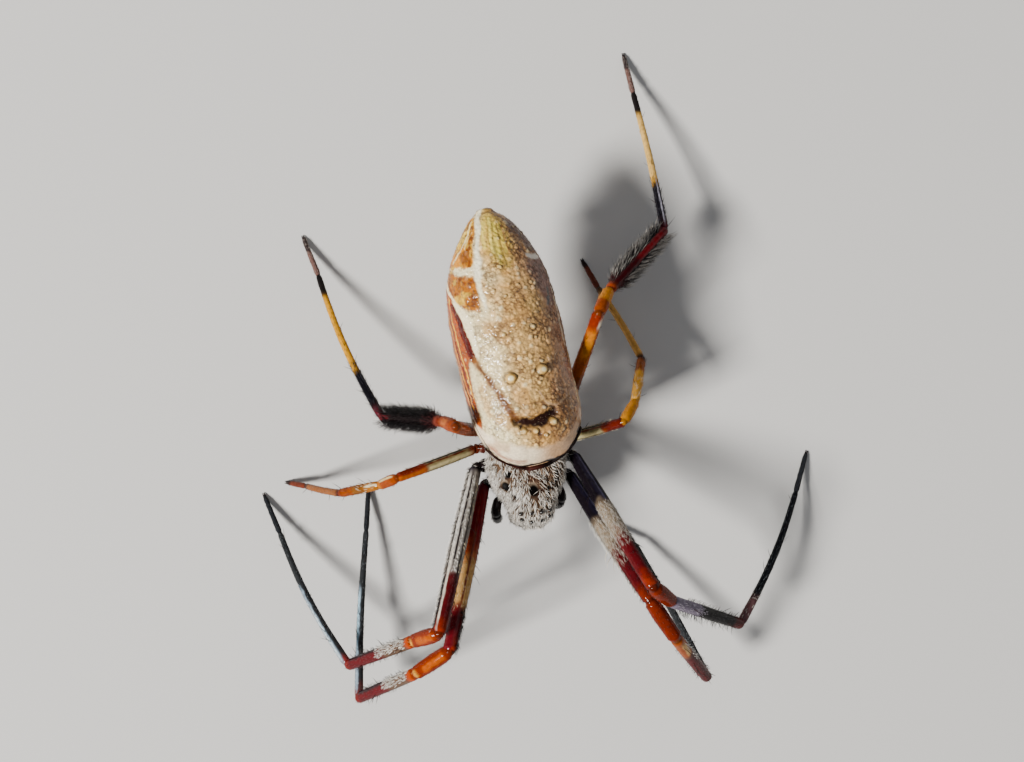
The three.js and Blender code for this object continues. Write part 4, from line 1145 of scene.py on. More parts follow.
# Rings in each rounded end of a limb
END_STEPS = 5


def rounded(centres, directions, radii):
    """A line with rounded ends added to it"""
    turn = np.linspace(0.08, math.pi / 2, END_STEPS + 1)[:-1]
    start = [centres[0] - directions[0] * radii[0] * math.cos(t) for t in turn]
    end = [centres[-1] + directions[-1] * radii[-1] * math.cos(t) for t in turn[::-1]]
    start_radii = [radii[0] * math.sin(t) for t in turn]
    end_radii = [radii[-1] * math.sin(t) for t in turn[::-1]]
    lines = np.vstack([start, centres, end])
    ways = np.vstack([[directions[0]] * END_STEPS, directions, [directions[-1]] * END_STEPS])
    return lines, ways, np.concatenate([start_radii, radii, end_radii])


def smooth_line(points, values, count):
    """A smooth line through a few points, with one value eased along it"""
    points = np.asarray(points, float)
    reach = np.concatenate([[0], np.cumsum(np.linalg.norm(np.diff(points, axis=0), axis=1))])
    at = np.linspace(0, reach[-1], count)
    padded = np.vstack([2 * points[0] - points[1], points, 2 * points[-1] - points[-2]])
    i = np.clip(np.searchsorted(reach, at, side="right") - 1, 0, len(points) - 2)
    t = ((at - reach[i]) / (reach[i + 1] - reach[i]))[:, None]
    a, b, c, d = (padded[i + k] for k in range(4))
    bend = (2 * a - 5 * b + 4 * c - d) * t ** 2 + (3 * b - a - 3 * c + d) * t ** 3
    line = 0.5 * (2 * b + (c - a) * t + bend)
    value = smooth_table(list(zip(reach, values)), at)
    return line, unit(np.gradient(line, axis=0)), value


def limb_skin(points, radii, columns, count):
    """A round limb along a smooth line"""
    line, way, size = rounded(*smooth_line(points, radii, count))
    return Skin(sweep(line, way, size, columns))


# Legs: about the step between rings in mm, columns round them, about how far one ring turns in a joint, and
# how far the middles of the femur and the shin rise in mm
LEG_STEP = 0.11
LEG_COLUMNS = 48
JOINT_TURN = math.radians(9)
FEMUR_ARCH = 0.25
SHIN_ARCH = 0.2


def segment_radius(table, share, length):
    """Thickness along a leg segment, drawn in at both of its joints"""
    start, middle, end = table
    body = np.where(share < 0.4, start + (middle - start) * step(0, 0.4, share),
                    middle + (end - middle) * step(0.4, 1, share))
    from_start = share * length
    from_end = (1 - share) * length
    return body * (0.72 + 0.28 * step(0, 0.38, from_start)) * (0.8 + 0.2 * step(0.0, 0.22, from_end))


def joint_ways(before, after):
    """Directions between those of two segments, a few degrees apart"""
    turn = math.acos(np.clip(before @ after, -1, 1))
    steps = int(turn / JOINT_TURN)
    parts = [k / steps for k in range(1, steps)]
    return [unit((math.sin((1 - t) * turn) * before + math.sin(t * turn) * after) / math.sin(turn))
            for t in parts]


class Leg:
    """One leg from its hip to its toe: a line of rings with the segment and the share of each"""

    def __init__(self, name):
        self.name = name
        self.side = 1 if name.startswith("left") else -1
        self.pair = int(name[-1]) - 1
        across, along, up, radius = HIPS[self.pair]
        reach = LEFT_HIP_REACH if self.side > 0 else RIGHT_HIP_REACH
        body = on_head([(self.side, along * 0.78 - 0.3, up - 0.15), (self.side * (across - 0.25), along, up),
                        (self.side * (across + reach), along, up)])
        corners = np.vstack([body, POSE[name]])
        tables = {"coxa": (radius * 0.8, radius, radius * 0.9),
                  "trochanter": (radius * 0.85, radius * 0.85, 0.5), **LEG_RADII[self.pair]}
        lines, ways, sizes, segments, shares = [], [], [], [], []
        for number, segment in enumerate(SEGMENTS):
            start, end = corners[number], corners[number + 1]
            length = np.linalg.norm(end - start)
            share = np.linspace(0, 1, max(5, int(length / LEG_STEP)))
            line = start + (end - start) * share[:, None] + self.arch(segment, start, end, share)
            way = unit(np.gradient(line, axis=0))
            size = segment_radius(tables[segment], share, length)
            # Rings that turn on the joint come before those of the segment
            turning = joint_ways(ways[-1], way[0]) if number else []
            joint_size = min(sizes[-1], size[0]) if number else 0
            lines += [start] * len(turning) + list(line)
            ways += turning + list(way)
            sizes += [joint_size] * len(turning) + list(size)
            segments += [number] * (len(turning) + len(line))
            shares += [0.0] * len(turning) + list(share)
        line, way, size = rounded(np.array(lines), np.array(ways), np.array(sizes))
        self.segment = np.pad(segments, END_STEPS, mode="edge")
        self.share = np.pad(shares, END_STEPS, mode="edge")
        rings = sweep(line, way, size, LEG_COLUMNS)
        rings[..., 2] = np.maximum(rings[..., 2], 0)
        self.toe = corners[-1]
        self.way = way
        self.skin = Skin(rings)
        self.turn = self.turn_round()

    def arch(self, segment, start, end, share):
        """How far the line of a segment leaves the straight way"""
        bow = np.sin(math.pi * share)[:, None]
        if segment == "femur":
            outward = np.array([-1.0, 0, 0]) if self.name == "right_leg_4" else UP
            return FEMUR_ARCH * outward * bow
        if segment == "metatarsus":
            outward = unit(np.array([(start + end)[0], 0, 0]))
            return SHIN_BOW[self.name] * outward * bow + SHIN_ARCH * UP * bow
        return 0 * bow

    def turn_round(self):
        """Angle of each point round the leg, in degrees: 0 on top, positive on the rear side"""
        up = unit(UP - self.way * self.way[:, 2:3])
        rear = np.cross(self.way, up) * -self.side
        normal = self.skin.normal
        to_rear = np.einsum("ijk,ik->ij", normal, rear)
        return np.degrees(np.arctan2(to_rear, np.einsum("ijk,ik->ij", normal, up)))

    def cover(self, segment, start, end, middle=0, spread=200, soft=0.05):
        """Where on the leg a mark lies: a segment, a part of its length and a part of its round"""
        local = self.skin.rings
        share = self.share[:, None] + 0.6 * soft * ripple(local, 0.5, 51)
        along = step(start - soft, start + soft, share) * (1 - step(end - soft, end + soft, share))
        edge = np.clip(spread / 2, 4, 14)
        off = np.abs((self.turn - middle + 180) % 360 - 180) + 0.8 * edge * ripple(local, 0.35, 52)
        around = 1 - step(spread - edge, spread + edge, off)
        return along * around * (self.segment == SEGMENTS.index(segment))[:, None]


# Marks on the legs, by segment: start, end, colour, and where they don't go all round: middle and half spread
# in degrees. A start of -1 takes in the segment's start, and an end of 2 its end
FRONT_MARKS = {
    "coxa": [(-1, 2, "1c1416")],
    "trochanter": [(-1, 2, "181214")],
    # The violet stripe on top of the femur's dark base, with the pale lilac line in it, is painted sheen: a
    # painted highlight on the dark cuticle
    "femur": [(-1, 0.44, "161117"), (0.0, 0.44, "1e1a2a", 30, 26), (0.04, 0.4, "5a5470", 36, 6),
        (0.4, 0.68, "8c7a64"), (0.62, 2, "5c1016"), (0.66, 1.0, "1e080c", 80, 32),
        (0.93, 2, "8c2408", 0, 60)],
    "patella": [(-1, 2, "842a08"), (0.1, 0.7, "b0500a", 0, 26), (0.88, 0.96, "dc9c34", 10, 34)],
    "tibia": [(-1, 0.1, "a83c04"), (0.08, 0.5, "604838"), (0.42, 2, "5a0a12"),
        (0.5, 0.95, "2c0c14", 110, 60), (0.95, 2, "7e1f1a")],
    "metatarsus": [(-1, 0.1, "7a2c2a"), (0.08, 2, "2e3032")],
    "tarsus": [(-1, 2, "24262a")],
}
THIRD_MARKS = {
    "coxa": [(-1, 2, "4c2018")],
    "trochanter": [(-1, 2, "6a2a18")],
    "femur": [(-1, 0.13, "8a3414"), (0.12, 0.68, "a89868"), (0.05, 0.8, "2c2826", 62, 14),
        (0.1, 0.66, "e7d8a0", -20, 22), (0.15, 0.75, "74301a", 32, 9), (0.15, 0.7, "5a4c38", -62, 8),
        (0.66, 2, "8c2c10"), (0.68, 1.0, "c8640c", -35, 32)],
    "patella": [(-1, 2, "984006"), (0.1, 0.9, "e7ce93", 50, 14), (0.8, 2, "b86808")],
    "tibia": [(-1, 0.35, "a86412"), (0.0, 0.5, "e7dcb4", 24, 13), (0.3, 0.66, "84501c"), (0.62, 2, "904008"),
        (0.94, 2, "6c2416")],
    "metatarsus": [(-1, 0.04, "3c1e18"), (0.05, 0.92, "945628"), (0.92, 2, "472b22")],
    "tarsus": [(-1, 0.8, "703424"), (0.8, 2, "2e1f1d")],
}
HIND_MARKS = {
    "coxa": [(-1, 2, "3a1d1a")],
    "trochanter": [(-1, 2, "57231a")],
    "femur": [(-1, 0.56, "7c3e18"), (0.45, 0.9, "b45a0a"), (0.62, 0.82, "dc8a14", 0, 40),
        (0.88, 2, "842608")],
    "patella": [(-1, 2, "984206"), (0.45, 2, "cc8014")],
    "tibia": [(-1, 0.1, "9a3c14"), (0.07, 0.88, "200a0e"), (0.1, 0.9, "5c0e16", 0, 34), (0.86, 2, "6c1420")],
    "metatarsus": [(-1, 0.06, "6f2030"), (0.05, 0.38, "121016"), (0.34, 0.86, "d89a22"),
        (0.84, 2, "1e1a1a")],
    "tarsus": [(-1, 0.7, "74564f"), (0.65, 2, "3a3030")],
}
OWN_MARKS = {
    "right_leg_1": {
        "femur": [(0.02, 0.42, "700f18", -25, 90), (0.36, 0.52, "963a1c", -30, 90),
            (0.46, 0.76, "c89a5c", -30, 90), (0.05, 0.7, "38141a", -88, 16), (0.3, 0.76, "6c2c14", -8, 8),
            (0.74, 2, "6c121c", 60, 70), (0.74, 0.96, "1e080c", -85, 26)],
        # The pale blue stripes along the side of the shin are painted sheen
        "metatarsus": [(0.05, 0.66, "8ea0b0", -38, 26), (0.3, 0.62, "a8d0e4", -42, 18)],
    },
    "right_leg_2": {
        # The white stripe along the femur's top and the narrow pale line on its red end are painted
        # highlights, laid over white hair
        "femur": [(0.04, 0.66, "9c948c", 20, 100), (0.0, 0.9, "1a161c", 62, 10),
            (0.05, 0.62, "241e22", 14, 8), (0.15, 0.7, "3a2e2a", -34, 8), (0.06, 0.64, "e4e0d8", 38, 12),
            (0.06, 0.62, "c8c2b8", -10, 10), (0.5, 0.96, "e7dccb", 38, 9)],
        # The pale blue stripes along the side of the shin are painted sheen
        "metatarsus": [(0.03, 0.6, "8ea0b0", -36, 28), (0.05, 0.45, "c4d4dc", -38, 16)],
    },
    "left_leg_1": {
        "femur": [(0.6, 2, "520e14"), (0.9, 2, "742008", 0, 70)],
        "patella": [(-1, 2, "702008")],
        "tibia": [(-1, 0.34, "984818"), (0.1, 0.3, "dcb070", 20, 24), (0.36, 2, "54090f")],
    },
    "left_leg_2": {
        "femur": [(0.62, 2, "5a0d14", 0, 45), (0.92, 2, "842408", 0, 60)],
        "patella": [(-1, 2, "702008")],
        "tibia": [(-1, 0.42, "7c7284"), (0.36, 0.92, "0e0a0e"), (0.88, 2, "561416")],
        "metatarsus": [(0.1, 2, "101115"), (-1, 0.2, "6c4a4c")],
    },
    "left_leg_3": {
        "femur": [(0.7, 2, "5c160a")],
        "patella": [(-1, 2, "d08614")],
        "tibia": [(-1, 0.7, "d89c38"), (0.68, 0.94, "9a5018"), (0.94, 2, "24120f")],
        "metatarsus": [(0.03, 0.94, "cf9c50")],
    },
    "left_leg_4": {
        # The pale spot on the side of the femur's end is a painted glint
        "femur": [(0.88, 0.96, "e6d9c3", -66, 30)],
        # The pale lilac line on the shin's black base is painted sheen
        "metatarsus": [(0.37, 0.84, "e4b866"), (0.06, 0.34, "c8c4d4", -20, 12)],
        "tibia": [(0.4, 0.92, "8c101c", 0, 36), (0.1, 0.5, "4a0a12", 0, 36)],
    },
    "right_leg_4": {
        "femur": [(-1, 0.62, "7a3a18"), (0.6, 2, "9a4418")],
        "patella": [(-1, 2, "94401a"), (0.3, 0.7, "b05c26", 0, 30)],
        "tibia": [(-1, 0.12, "702b1b"), (0.1, 0.8, "18080a", 0, 60)],
    },
}
KIND_MARKS = [FRONT_MARKS, FRONT_MARKS, THIRD_MARKS, HIND_MARKS]

# Hair on the legs: segment, start, end, middle, half spread, hairs per square mm, length, thickness,
# lift in radians, root colour and tip colour, both left out where hair has the colour of the skin
SILVER = ("b4aea6", "e9e6de")
BLACK = ("0c090a", "161214")
FRONT_HAIR = [
    ("coxa", 0.2, 2, 0, 120, 14, 0.5, 0.055, 0.5, *SILVER),
    ("trochanter", -1, 2, 0, 130, 14, 0.45, 0.055, 0.5, *SILVER),
    ("femur", 0.7, 1.0, 180, 80, 30, 0.5, 0.04, 0.8, *BLACK),
    ("femur", 0.66, 1.0, 0, 90, 12, 0.4, 0.036, 0.3),
    ("patella", 0.0, 1.0, 0, 180, 14, 0.35, 0.036, 0.4),
    ("tibia", 0.45, 1.0, 0, 100, 16, 0.34, 0.036, 0.4),
    ("tibia", 0.2, 0.95, 180, 80, 30, 0.6, 0.036, 0.8, *BLACK),
    ("metatarsus", 0.2, 1.0, 0, 180, 22, 0.3, 0.03, 0.3, "34363a", "8c9296"),
    ("tarsus", 0.0, 1.0, 0, 180, 34, 0.28, 0.026, 0.35, "1b1c1f", "45484d"),
]
THIRD_HAIR = [
    ("coxa", 0.2, 2, 0, 130, 14, 0.45, 0.04, 0.5, *SILVER),
    ("femur", 0.0, 0.85, 90, 24, 36, 0.36, 0.04, 0.7, "b4a586", "e9e2ca"),
    ("femur", 0.0, 0.85, -88, 22, 26, 0.32, 0.036, 0.6, "b4a586", "e9e2ca"),
    ("femur", 0.0, 1.0, 0, 180, 12, 0.35, 0.032, 0.3),
    ("patella", 0.0, 1.0, 0, 180, 14, 0.35, 0.034, 0.45),
    ("tibia", 0.0, 0.5, 10, 60, 16, 0.4, 0.045, 0.4, "c8a878", "e9e2ca"),
    ("tibia", 0.3, 1.0, 0, 180, 24, 0.4, 0.036, 0.5),
    ("metatarsus", 0.0, 1.0, 0, 180, 26, 0.3, 0.03, 0.35),
    ("tarsus", 0.0, 1.0, 0, 180, 34, 0.28, 0.026, 0.4),
]
HIND_HAIR = [
    ("coxa", 0.2, 2, 0, 130, 14, 0.45, 0.036, 0.5, "533d37", "c8a888"),
    ("femur", 0.0, 1.0, 0, 180, 14, 0.35, 0.032, 0.35),
    ("patella", 0.0, 1.0, 0, 180, 16, 0.35, 0.032, 0.45),
    ("metatarsus", 0.0, 0.36, 0, 180, 34, 0.5, 0.03, 0.5, "121014", "54505a"),
    ("metatarsus", 0.3, 1.0, 0, 180, 24, 0.3, 0.028, 0.35),
    ("tarsus", 0.0, 1.0, 0, 180, 40, 0.3, 0.026, 0.45, "5f5753", "d8c8bc"),
]
OWN_HAIR = {
    "right_leg_1": [
        ("femur", 0.05, 0.7, -92, 22, 26, 0.36, 0.04, 0.6, *SILVER),
        ("femur", 0.46, 0.78, -30, 80, 18, 0.4, 0.045, 0.2, "a08058", "e7d4ac"),
        ("femur", 0.76, 1.0, -80, 50, 44, 0.4, 0.042, 0.8, *BLACK),
        ("tibia", 0.04, 0.48, 50, 62, 66, 0.45, 0.05, 0.3, *SILVER),
        ("metatarsus", 0.0, 0.6, -60, 30, 30, 0.32, 0.04, 0.4, "8ea0b0", "dce6ea"),
    ],
    "right_leg_2": [
        ("femur", 0.03, 0.62, 38, 13, 60, 0.45, 0.06, 0.16, *SILVER),
        ("femur", 0.05, 0.64, -10, 12, 60, 0.45, 0.055, 0.16, *SILVER),
        ("femur", 0.1, 0.64, -56, 12, 50, 0.42, 0.05, 0.16, "a89478", "e7d8b4"),
        ("femur", 0.0, 0.95, 82, 22, 100, 0.46, 0.05, 0.75, *SILVER),
        ("tibia", 0.04, 0.48, 50, 62, 66, 0.45, 0.05, 0.3, *SILVER),
        ("metatarsus", 0.0, 0.6, -60, 30, 34, 0.34, 0.045, 0.4, "8ea0b0", "e4e9ea"),
    ],
    "left_leg_1": [
        ("femur", 0.38, 0.68, -10, 90, 110, 0.6, 0.034, 0.1, "8c7e70", "e9e2d4"),
        ("femur", 0.34, 0.92, -90, 26, 60, 0.6, 0.05, 0.7, *SILVER),
        ("femur", 0.5, 0.85, -92, 14, 2.5, 1.5, 0.08, 0.9, "d8c8a8", "e9e2d4"),
        ("tibia", 0.1, 0.5, 75, 28, 50, 0.4, 0.045, 0.5, *SILVER),
    ],
    "left_leg_2": [
        ("femur", 0.38, 0.66, 0, 100, 110, 0.6, 0.034, 0.1, "807670", "e7dfd2"),
        ("femur", 0.6, 0.95, 90, 30, 50, 0.4, 0.034, 0.6, *BLACK),
        ("tibia", 0.04, 0.42, -10, 60, 30, 0.35, 0.04, 0.25, "8a8090", "cfc8d2"),
        ("tibia", 0.1, 0.9, -90, 30, 16, 0.9, 0.05, 0.95, *BLACK),
        ("metatarsus", 0.02, 0.22, 0, 120, 24, 0.3, 0.045, 0.4, "a89a96", "e7dfd2"),
    ],
    "right_leg_4": [
        ("tibia", 0.05, 0.2, 0, 180, 60, 0.7, 0.036, 0.7, "240c10", "4c2424"),
        ("tibia", 0.12, 0.9, 180, 150, 150, 1.3, 0.038, 0.78, "080607", "100c0e"),
        ("tibia", 0.12, 0.9, 0, 40, 60, 0.8, 0.036, 0.4, "10080a", "1a0c10"),
    ],
    "left_leg_4": [
        ("tibia", 0.05, 0.2, 180, 150, 50, 0.8, 0.036, 0.7, "240c10", "4c2424"),
        ("tibia", 0.12, 0.92, 180, 130, 100, 1.35, 0.036, 0.75, "0c0a0c", "2a2628"),
        ("tibia", 0.12, 0.92, 180, 134, 70, 1.4, 0.042, 0.8, "5c5856", "c4beb6"),
    ],
}
KIND_HAIR = [FRONT_HAIR, FRONT_HAIR, THIRD_HAIR, HIND_HAIR]

# Thin spines on the legs: segment, how many, length, thickness
FRONT_SPINES = [("femur", 7, 1.1, 0.07), ("tibia", 9, 1.2, 0.07), ("metatarsus", 9, 0.9, 0.06)]
SPINES = [
    FRONT_SPINES,
    FRONT_SPINES,
    [("femur", 5, 0.9, 0.06), ("tibia", 6, 1.0, 0.06), ("metatarsus", 5, 0.8, 0.05)],
    [("femur", 5, 0.9, 0.06), ("tibia", 5, 1.7, 0.06), ("metatarsus", 8, 0.9, 0.055)],
]

# The legs' paint is a little darker than their marks, and darkest in the joints themselves, which take up
# the first JOINT_PART of each segment
LEG_SHADE = 0.78
JOINT_SHADE = 0.4
JOINT_PART = 0.012


def leg_paint(leg):
    """Brown with the marks of the leg's kind and its own over it"""
    paint = np.broadcast_to(tone("47221d"), leg.skin.rings.shape)
    for marks in (KIND_MARKS[leg.pair], OWN_MARKS.get(leg.name, {})):
        for segment, rows in marks.items():
            for start, end, code, *around in rows:
                paint = tinted(paint, code, leg.cover(segment, start, end, *around))
    in_joint = (leg.share < JOINT_PART) & (leg.segment > 1)
    return paint * np.where(in_joint, JOINT_SHADE, LEG_SHADE)[:, None, None]


def build_leg(name, seed):
    """One leg's skin, its hair and its spines"""
    leg = Leg(name)
    skin = leg.skin
    local = skin.rings
    skin.raise_by(0.008 * ripple(local, 0.25, 61) + 0.006 * ripple(local, 0.12, 62))
    skin.paint = leg_paint(leg)
    piece = skin.make(name + "_skin", LEG_SKIN, "femur_shell")
    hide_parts(name + "_femur", name + "_tibia", name + "_shin")

    random = np.random.default_rng(seed)
    coat = Coat()
    for row in KIND_HAIR[leg.pair] + OWN_HAIR.get(name, []):
        segment, start, end, middle, spread, density, length, width, lift, *colours = row
        weight = leg.cover(segment, start, end, middle, spread, 0.03)
        own = 0.0 if colours else 1.0
        coat.add(skin, random, density, weight, length, width, lift, lift * 0.5, *(colours or SILVER),
                 spread=0.2, own=own, vary=0.22)
    coat.make(name + "_hair", DARK_HAIR if leg.pair == 3 else HAIR, "tibia_shell")

    spines = Coat()
    for segment, count, length, width in SPINES[leg.pair]:
        weight = leg.cover(segment, 0.08, 0.95, 0, 200, 0.02)
        density = (count + 0.5) / (skin.cell_sizes() * weight[:-1]).sum()
        spines.add(skin, random, density, weight, length, width, 0.75, 0.15, "2c1d19", "181412", spread=0.15)
    spines.make(name + "_spines", DARK_HAIR, "tibia_shell")
    return leg


# Claws of a foot: sideways from the toe in mm, and size. Their radii are in mm, from root to point
CLAWS = [(-0.08, 1.0), (0.08, 1.0), (0.0, 0.6)]
CLAW_RADII = [0.06, 0.05, 0.03, 0.01]


def build_claws(legs):
    """Three small hooks at each toe, made as one mesh"""
    skins = []
    for leg in legs:
        way = leg.way[-1]
        across = unit(np.cross(way, UP))
        for offset, size in CLAWS:
            root = leg.toe + across * offset
            line = [root, root + way * 0.2 * size + UP * 0.07 * size, root + way * 0.36 * size + UP * 0.02,
                    root + way * 0.42 * size - UP * 0.08 * size]
            skin = limb_skin(line, CLAW_RADII, 8, 12)
            skin.rings[..., 2] = np.maximum(skin.rings[..., 2], 0.005)
            skin.paint = np.broadcast_to(tone("201416"), skin.rings.shape)
            skins.append(skin)
    make_skins("claws", skins, DARK_SHELL)


# The breastplate under the front half of the body: gap before and after it, half width and half depth in mm
BREASTPLATE_FRONT_GAP = 2.4
BREASTPLATE_REAR_GAP = 0.6
BREASTPLATE_HALF_WIDTH = 1.57
BREASTPLATE_HALF_DEPTH = 1.37


def build_breastplate():
    """The breastplate between the hips, with its hair"""
    share = np.linspace(0, 1, 40)
    swell = (0.35 + 0.65 * np.sin(np.pi * (0.08 + 0.84 * share)) ** 0.7)[:, None]
    front = SHIELD_FRONT + BREASTPLATE_FRONT_GAP
    y = front + share * (SHIELD_REAR - BREASTPLATE_REAR_GAP - front)
    angles = np.arange(60) / 60 * math.tau
    # Four notches on each side, where the hips lie
    notch = 1 - 0.05 * np.abs(np.sin(share * math.pi * 4))[:, None] * np.abs(np.cos(angles)) ** 4
    x = BREASTPLATE_HALF_WIDTH * swell * np.cos(angles) * notch
    z = SHIELD_RIM_HEIGHT - 0.6 + BREASTPLATE_HALF_DEPTH * swell * np.sin(angles)
    local = np.stack([x, y[:, None] + 0 * x, z], -1)
    skin = Skin(on_head(local))
    near = pebbles(local, 0.2, 71)[0]
    skin.raise_by(0.015 * ripple(local, 0.4, 72) - 0.012 * near)
    paint = two_tone("201516", "38261e", step(-0.3, 0.6, ripple(local, 0.5, 73)))
    skin.paint = tinted(paint, "af6d20", 0.6 * bell(x, 0.45) * step(0.0, 0.4, -z - 1.2))
    skin.make("breastplate", DARK_SHELL, "dark_shell")
    coat = Coat()
    random = np.random.default_rng(74)
    coat.add(skin, random, 22, step(0, 0.6, -z - 0.9), 0.45, 0.034, 0.5, 0.25, "392d28", "c3ad96")
    coat.make("breastplate_hair", HAIR, "shield_coat")


def build_waist():
    """The ringed waist between the two halves of the body"""
    line = on_head([(0, -1.1, -0.35), (0, 0.25, -0.15), (0, 1.35, 0.5), (0, 2.2, 1.4)])
    waist = limb_skin(line, [0.55, 0.46, 0.48, 0.6], 32, 60)
    rows = np.arange(waist.rows)[:, None]
    waist.raise_by(0.03 * np.sin(rows * 0.55) * np.ones((1, waist.columns)))
    waist.paint = two_tone("3a221c", "6e4534", step(-0.5, 0.5, ripple(waist.rings, 0.4, 75)))
    piece = waist.make("waist_skin", JOINT_SKIN, "joint_skin")
    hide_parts("waist")


# Spinnerets on the right-hand side: sideways, along the body, radius and share of the full length
SPINNERETS = [(0.36, -0.32, 0.4, 1.0), (0.3, 0.4, 0.33, 0.95), (0.13, 0.05, 0.2, 0.8)]


def build_spinnerets():
    """Three pairs of spinnerets with pale tips, and their hair"""
    root = abdomen_point(0.83, math.pi)
    skins = []
    for across, y, size, long in SPINNERETS:
        for x in (-across, across):
            line = [root + [x * 0.7, y * 0.7, 0.3], root + [x, y + 0.2, -0.55 * long],
                    root + [x * 0.75, y * 0.8 + 0.45, -1.2 * long]]
            skin = limb_skin(body_place(ABDOMEN_TURN, line), [size, size, size * 0.5], 28, 36)
            groove = bell(skin.way() - 0.72, 0.03)
            skin.raise_by(-0.03 * groove + 0.01 * ripple(skin.rings, 0.15, 81))
            paint = two_tone("55382b", "2c1b17", step(0.45, 0.8, skin.way()))
            skin.paint = tinted(paint, "ac834d", step(0.9, 0.97, skin.way()))
            skins.append(skin)
    piece = make_skins("spinneret_skins", skins, JOINT_SKIN)
    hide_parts("spinnerets")
    coat = Coat()
    random = np.random.default_rng(82)
    for k, skin in enumerate(skins):
        patch = (k / 6 + 0.01, 0.01, (k + 1) / 6 - 0.01, 0.98)
        coat.add(skin, random, 40, step(0.2, 0.5, skin.way()), 0.28, 0.026, 0.4, 0.1, "2c1e1b", "7c6856",
                 patch=patch)
    coat.make("spinneret_hair", DARK_HAIR, "joint_skin")


# The left feeler lies a little further back than the right one
PALP_SETBACK = {"right": 0.0, "left": 0.5}

# Jointed narrow places of a feeler: shares of its length
PALP_JOINTS = (0.17, 0.42, 0.56, 0.74)


def build_mouth(side, word):
    """A jaw with its fang, and the feeler beside it. side is -1 on the right and 1 on the left"""
    def placed(places, back=0.0):
        """Places beside the mouth, measured from the shield's front edge"""
        return on_head([(side * x, SHIELD_FRONT + back + y, z) for x, y, z in places])

    jaw = limb_skin(placed([(0.72, 1.35, -0.3), (0.8, 0.75, -1.6), (0.7, 0.85, -3.1)]),
                    [0.6, 0.66, 0.44], 36, 50)
    jaw.raise_by(0.012 * ripple(jaw.rings, 0.3, 91))
    jaw.paint = two_tone("2d1716", "130e0f", step(0.15, 0.5, jaw.way()))
    fang_line = [(0.7, 0.85, -3.05), (0.66, 0.95, -3.42), (0.54, 1.3, -3.62), (0.42, 1.85, -3.55)]
    fang = limb_skin(placed(fang_line), [0.3, 0.24, 0.14, 0.03], 24, 36)
    fang.paint = two_tone("1e1210", "561d17", step(0.4, 1, fang.way()))
    piece = make_skins("jaw_" + word + "_shell", [jaw, fang], DARK_SHELL)
    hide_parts("jaw_" + word)

    joints = placed([(1.75, 2.7, -1.25), (2.45, 2.35, -0.95), (2.75, 1.5, -1.0), (2.6, 0.85, -1.7),
                     (2.25, 0.7, -3.0), (1.9, 0.8, -4.1)], PALP_SETBACK[word])
    palp = limb_skin(joints, [0.3, 0.36, 0.4, 0.4, 0.35, 0.18], 28, 110)
    pinch = sum(0.07 * bell(palp.way() - joint, 0.016) for joint in PALP_JOINTS)
    palp.raise_by(-pinch + 0.008 * ripple(palp.rings, 0.2, 92))
    palp.paint = two_tone("2e1917", "120e10", step(0.1, 0.4, palp.way()))
    piece = palp.make("palp_" + word + "_skin", DARK_SHELL, "dark_shell")
    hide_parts("palp_" + word)

    coat = Coat()
    random = np.random.default_rng(93 + side)
    coat.add(palp, random, 50, step(0.15, 0.4, palp.way()), 0.26, 0.03, 0.5, 0.25, "120f0f", "261f1f",
             patch=(0.01, 0.01, 0.48, 0.98))
    coat.add(jaw, random, 34, step(0.1, 0.3, jaw.way()), 0.4, 0.03, 0.5, 0.2, "201718", "60544c",
             patch=(0.52, 0.01, 0.98, 0.98))
    coat.make("mouth_hair_" + word, DARK_HAIR, "dark_shell")


# Eyes: places sideways and behind the shield's front edge, and their sockets' profile as height and radius
EYE_RADIUS = 0.17
BROW_EYES = [(-0.37, 0.5), (0.37, 0.5), (0.42, 1.2), (-0.42, 1.2)]
SIDE_EYES = [(1.12, 0.75), (1.2, 1.25)]
SOCKET_PROFILE = [(-0.4, 0.23), (-0.2, 0.22), (-0.08, 0.21), (0.0, 0.195), (0.03, 0.18), (0.02, 0.16),
                  (-0.05, 0.12)]


def turned_skin(base, way, profile, columns, code):
    """A round skin of one colour, from heights over its base and radii"""
    heights, radii = zip(*profile)
    rings = sweep([base + way * height for height in heights], [way] * len(heights), radii, columns)
    skin = Skin(rings)
    skin.paint = np.broadcast_to(tone(code), rings.shape)
    return skin


def build_eyes(name, node, places):
    """Glossy domes, each in a low dark socket, on the low mound that carries them"""
    ball = [(EYE_RADIUS * math.sin(t), EYE_RADIUS * math.cos(t)) for t in np.linspace(-0.9, 1.53, 26)]
    eyes, sockets = [], []
    for x, behind in places:
        share = np.array([behind / SHIELD_LENGTH])
        side = x / shield_half_width(share)
        centre = np.array([x, SHIELD_FRONT + behind, shield_top(share, side)[0]])
        base = on_head(centre)
        lean = np.array([0.45 * x, -0.45 if behind < 1 else 0.1, 1.0])
        way = unit(on_head(centre + lean) - base)
        eyes.append(turned_skin(base, way, ball, 36, "0f0c0a"))
        sockets.append(turned_skin(base, way, SOCKET_PROFILE, 32, "4a3a30"))
    piece = make_skins(name, eyes, EYE_GLASS)
    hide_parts(node)
    make_skins(name + "_sockets", sockets, DARK_SHELL)


# Camera where the photographer stood, in the source's own axes. Its lens and sensor are in mm, and the
# nearest and farthest that it sees in metres
CAMERA_PLACE = np.array([-4.24713877, 12.02025386, 157.51603028])
CAMERA_RIGHT = (0.987948, -0.15105366, 0.03378672)
CAMERA_UP = (0.15256276, 0.98714012, -0.04773882)
CAMERA_BACK = (-0.0261411, 0.05231807, 0.99828827)
CAMERA_LENS = 65.918
CAMERA_SENSOR = 36
CAMERA_NEAR = 0.005
CAMERA_FAR = 5


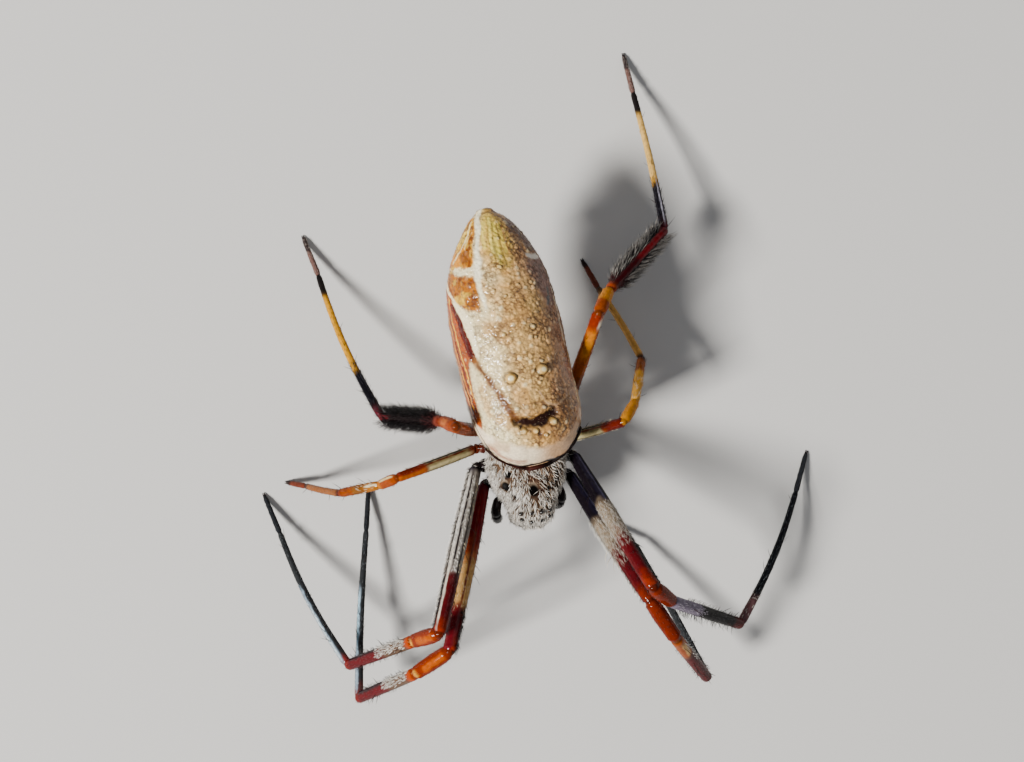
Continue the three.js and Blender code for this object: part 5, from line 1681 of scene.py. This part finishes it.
def build_camera():
    """The photo's view"""
    data = bpy.data.cameras.new("camera")
    data.sensor_width = CAMERA_SENSOR
    data.lens = CAMERA_LENS
    data.clip_start = CAMERA_NEAR
    data.clip_end = CAMERA_FAR
    camera = bpy.data.objects.new("camera", data)
    bpy.context.scene.collection.objects.link(camera)
    turn = Matrix((CAMERA_RIGHT, CAMERA_UP, CAMERA_BACK)).transposed().to_4x4()
    camera.matrix_world = Matrix.Translation(Vector((CAMERA_PLACE + SHIFT) * MM)) @ turn
    bpy.context.scene.camera = camera


# The floor: half its side and how far it lies under the feet in metres, and its colour
FLOOR_HALF = 1.5
FLOOR_DROP = 0.00002
FLOOR_COLOUR = (0.59, 0.585, 0.575, 1)

# Lights: name, place and width in metres, power in watts, colour. They shine on the middle of the spider
LIGHTS = [
    ("key", (-0.44, -0.12, 0.48), 0.13, 9.6, (1.0, 0.97, 0.92)),
    ("fill", (0.25, 0.12, 0.22), 0.25, 0.1, (0.95, 0.97, 1.0)),
    ("top", (0.02, 0.1, 0.35), 0.3, 0.12, (1.0, 1.0, 1.0)),
]
LIT_PLACE = Vector((0, 0, 0.008))
SURROUND_COLOUR = (0.9, 0.93, 1.0, 1)
SURROUND_STRENGTH = 0.14


def build_floor():
    """A plain pale floor"""
    mesh = bpy.data.meshes.new("floor")
    corners = [(-1, -1), (1, -1), (1, 1), (-1, 1)]
    mesh.from_pydata([(FLOOR_HALF * x, FLOOR_HALF * y, 0) for x, y in corners], [], [(0, 1, 2, 3)])
    material = bpy.data.materials.new("floor")
    material.use_nodes = True
    shader = material.node_tree.nodes["Principled BSDF"]
    shader.inputs["Base Color"].default_value = FLOOR_COLOUR
    shader.inputs["Roughness"].default_value = 0.9
    mesh.materials.append(material)
    floor = bpy.data.objects.new("floor", mesh)
    floor.location = (0, 0, -FLOOR_DROP)
    bpy.context.scene.collection.objects.link(floor)


def build_lights():
    """A soft key light from the photo's left, a faint fill and top light, and a dim even surround"""
    for name, place, size, power, colour in LIGHTS:
        data = bpy.data.lights.new(name, "AREA")
        data.size = size
        data.energy = power
        data.color = colour
        lamp = bpy.data.objects.new(name, data)
        lamp.location = place
        lamp.rotation_euler = (LIT_PLACE - Vector(place)).to_track_quat("-Z", "Y").to_euler()
        bpy.context.scene.collection.objects.link(lamp)
    world = bpy.data.worlds.new("surround")
    world.use_nodes = True
    back = world.node_tree.nodes["Background"]
    back.inputs["Color"].default_value = SURROUND_COLOUR
    back.inputs["Strength"].default_value = SURROUND_STRENGTH
    bpy.context.scene.world = world


def build_all():
    """The whole scene"""
    build_camera()
    build_floor()
    build_lights()
    build_abdomen()
    build_shield()
    build_breastplate()
    build_waist()
    build_spinnerets()
    for side, word in ((-1, "right"), (1, "left")):
        build_mouth(side, word)
        build_eyes("eyes_" + word + "_glass", "eyes_" + word, [(side * x, y) for x, y in SIDE_EYES])
    build_eyes("eyes_brow_glass", "eyes_brow", BROW_EYES)
    legs = [build_leg(name, 200 + k) for k, name in enumerate(POSE)]
    build_claws(legs)


build_all()

bpy.context.view_layer.update()
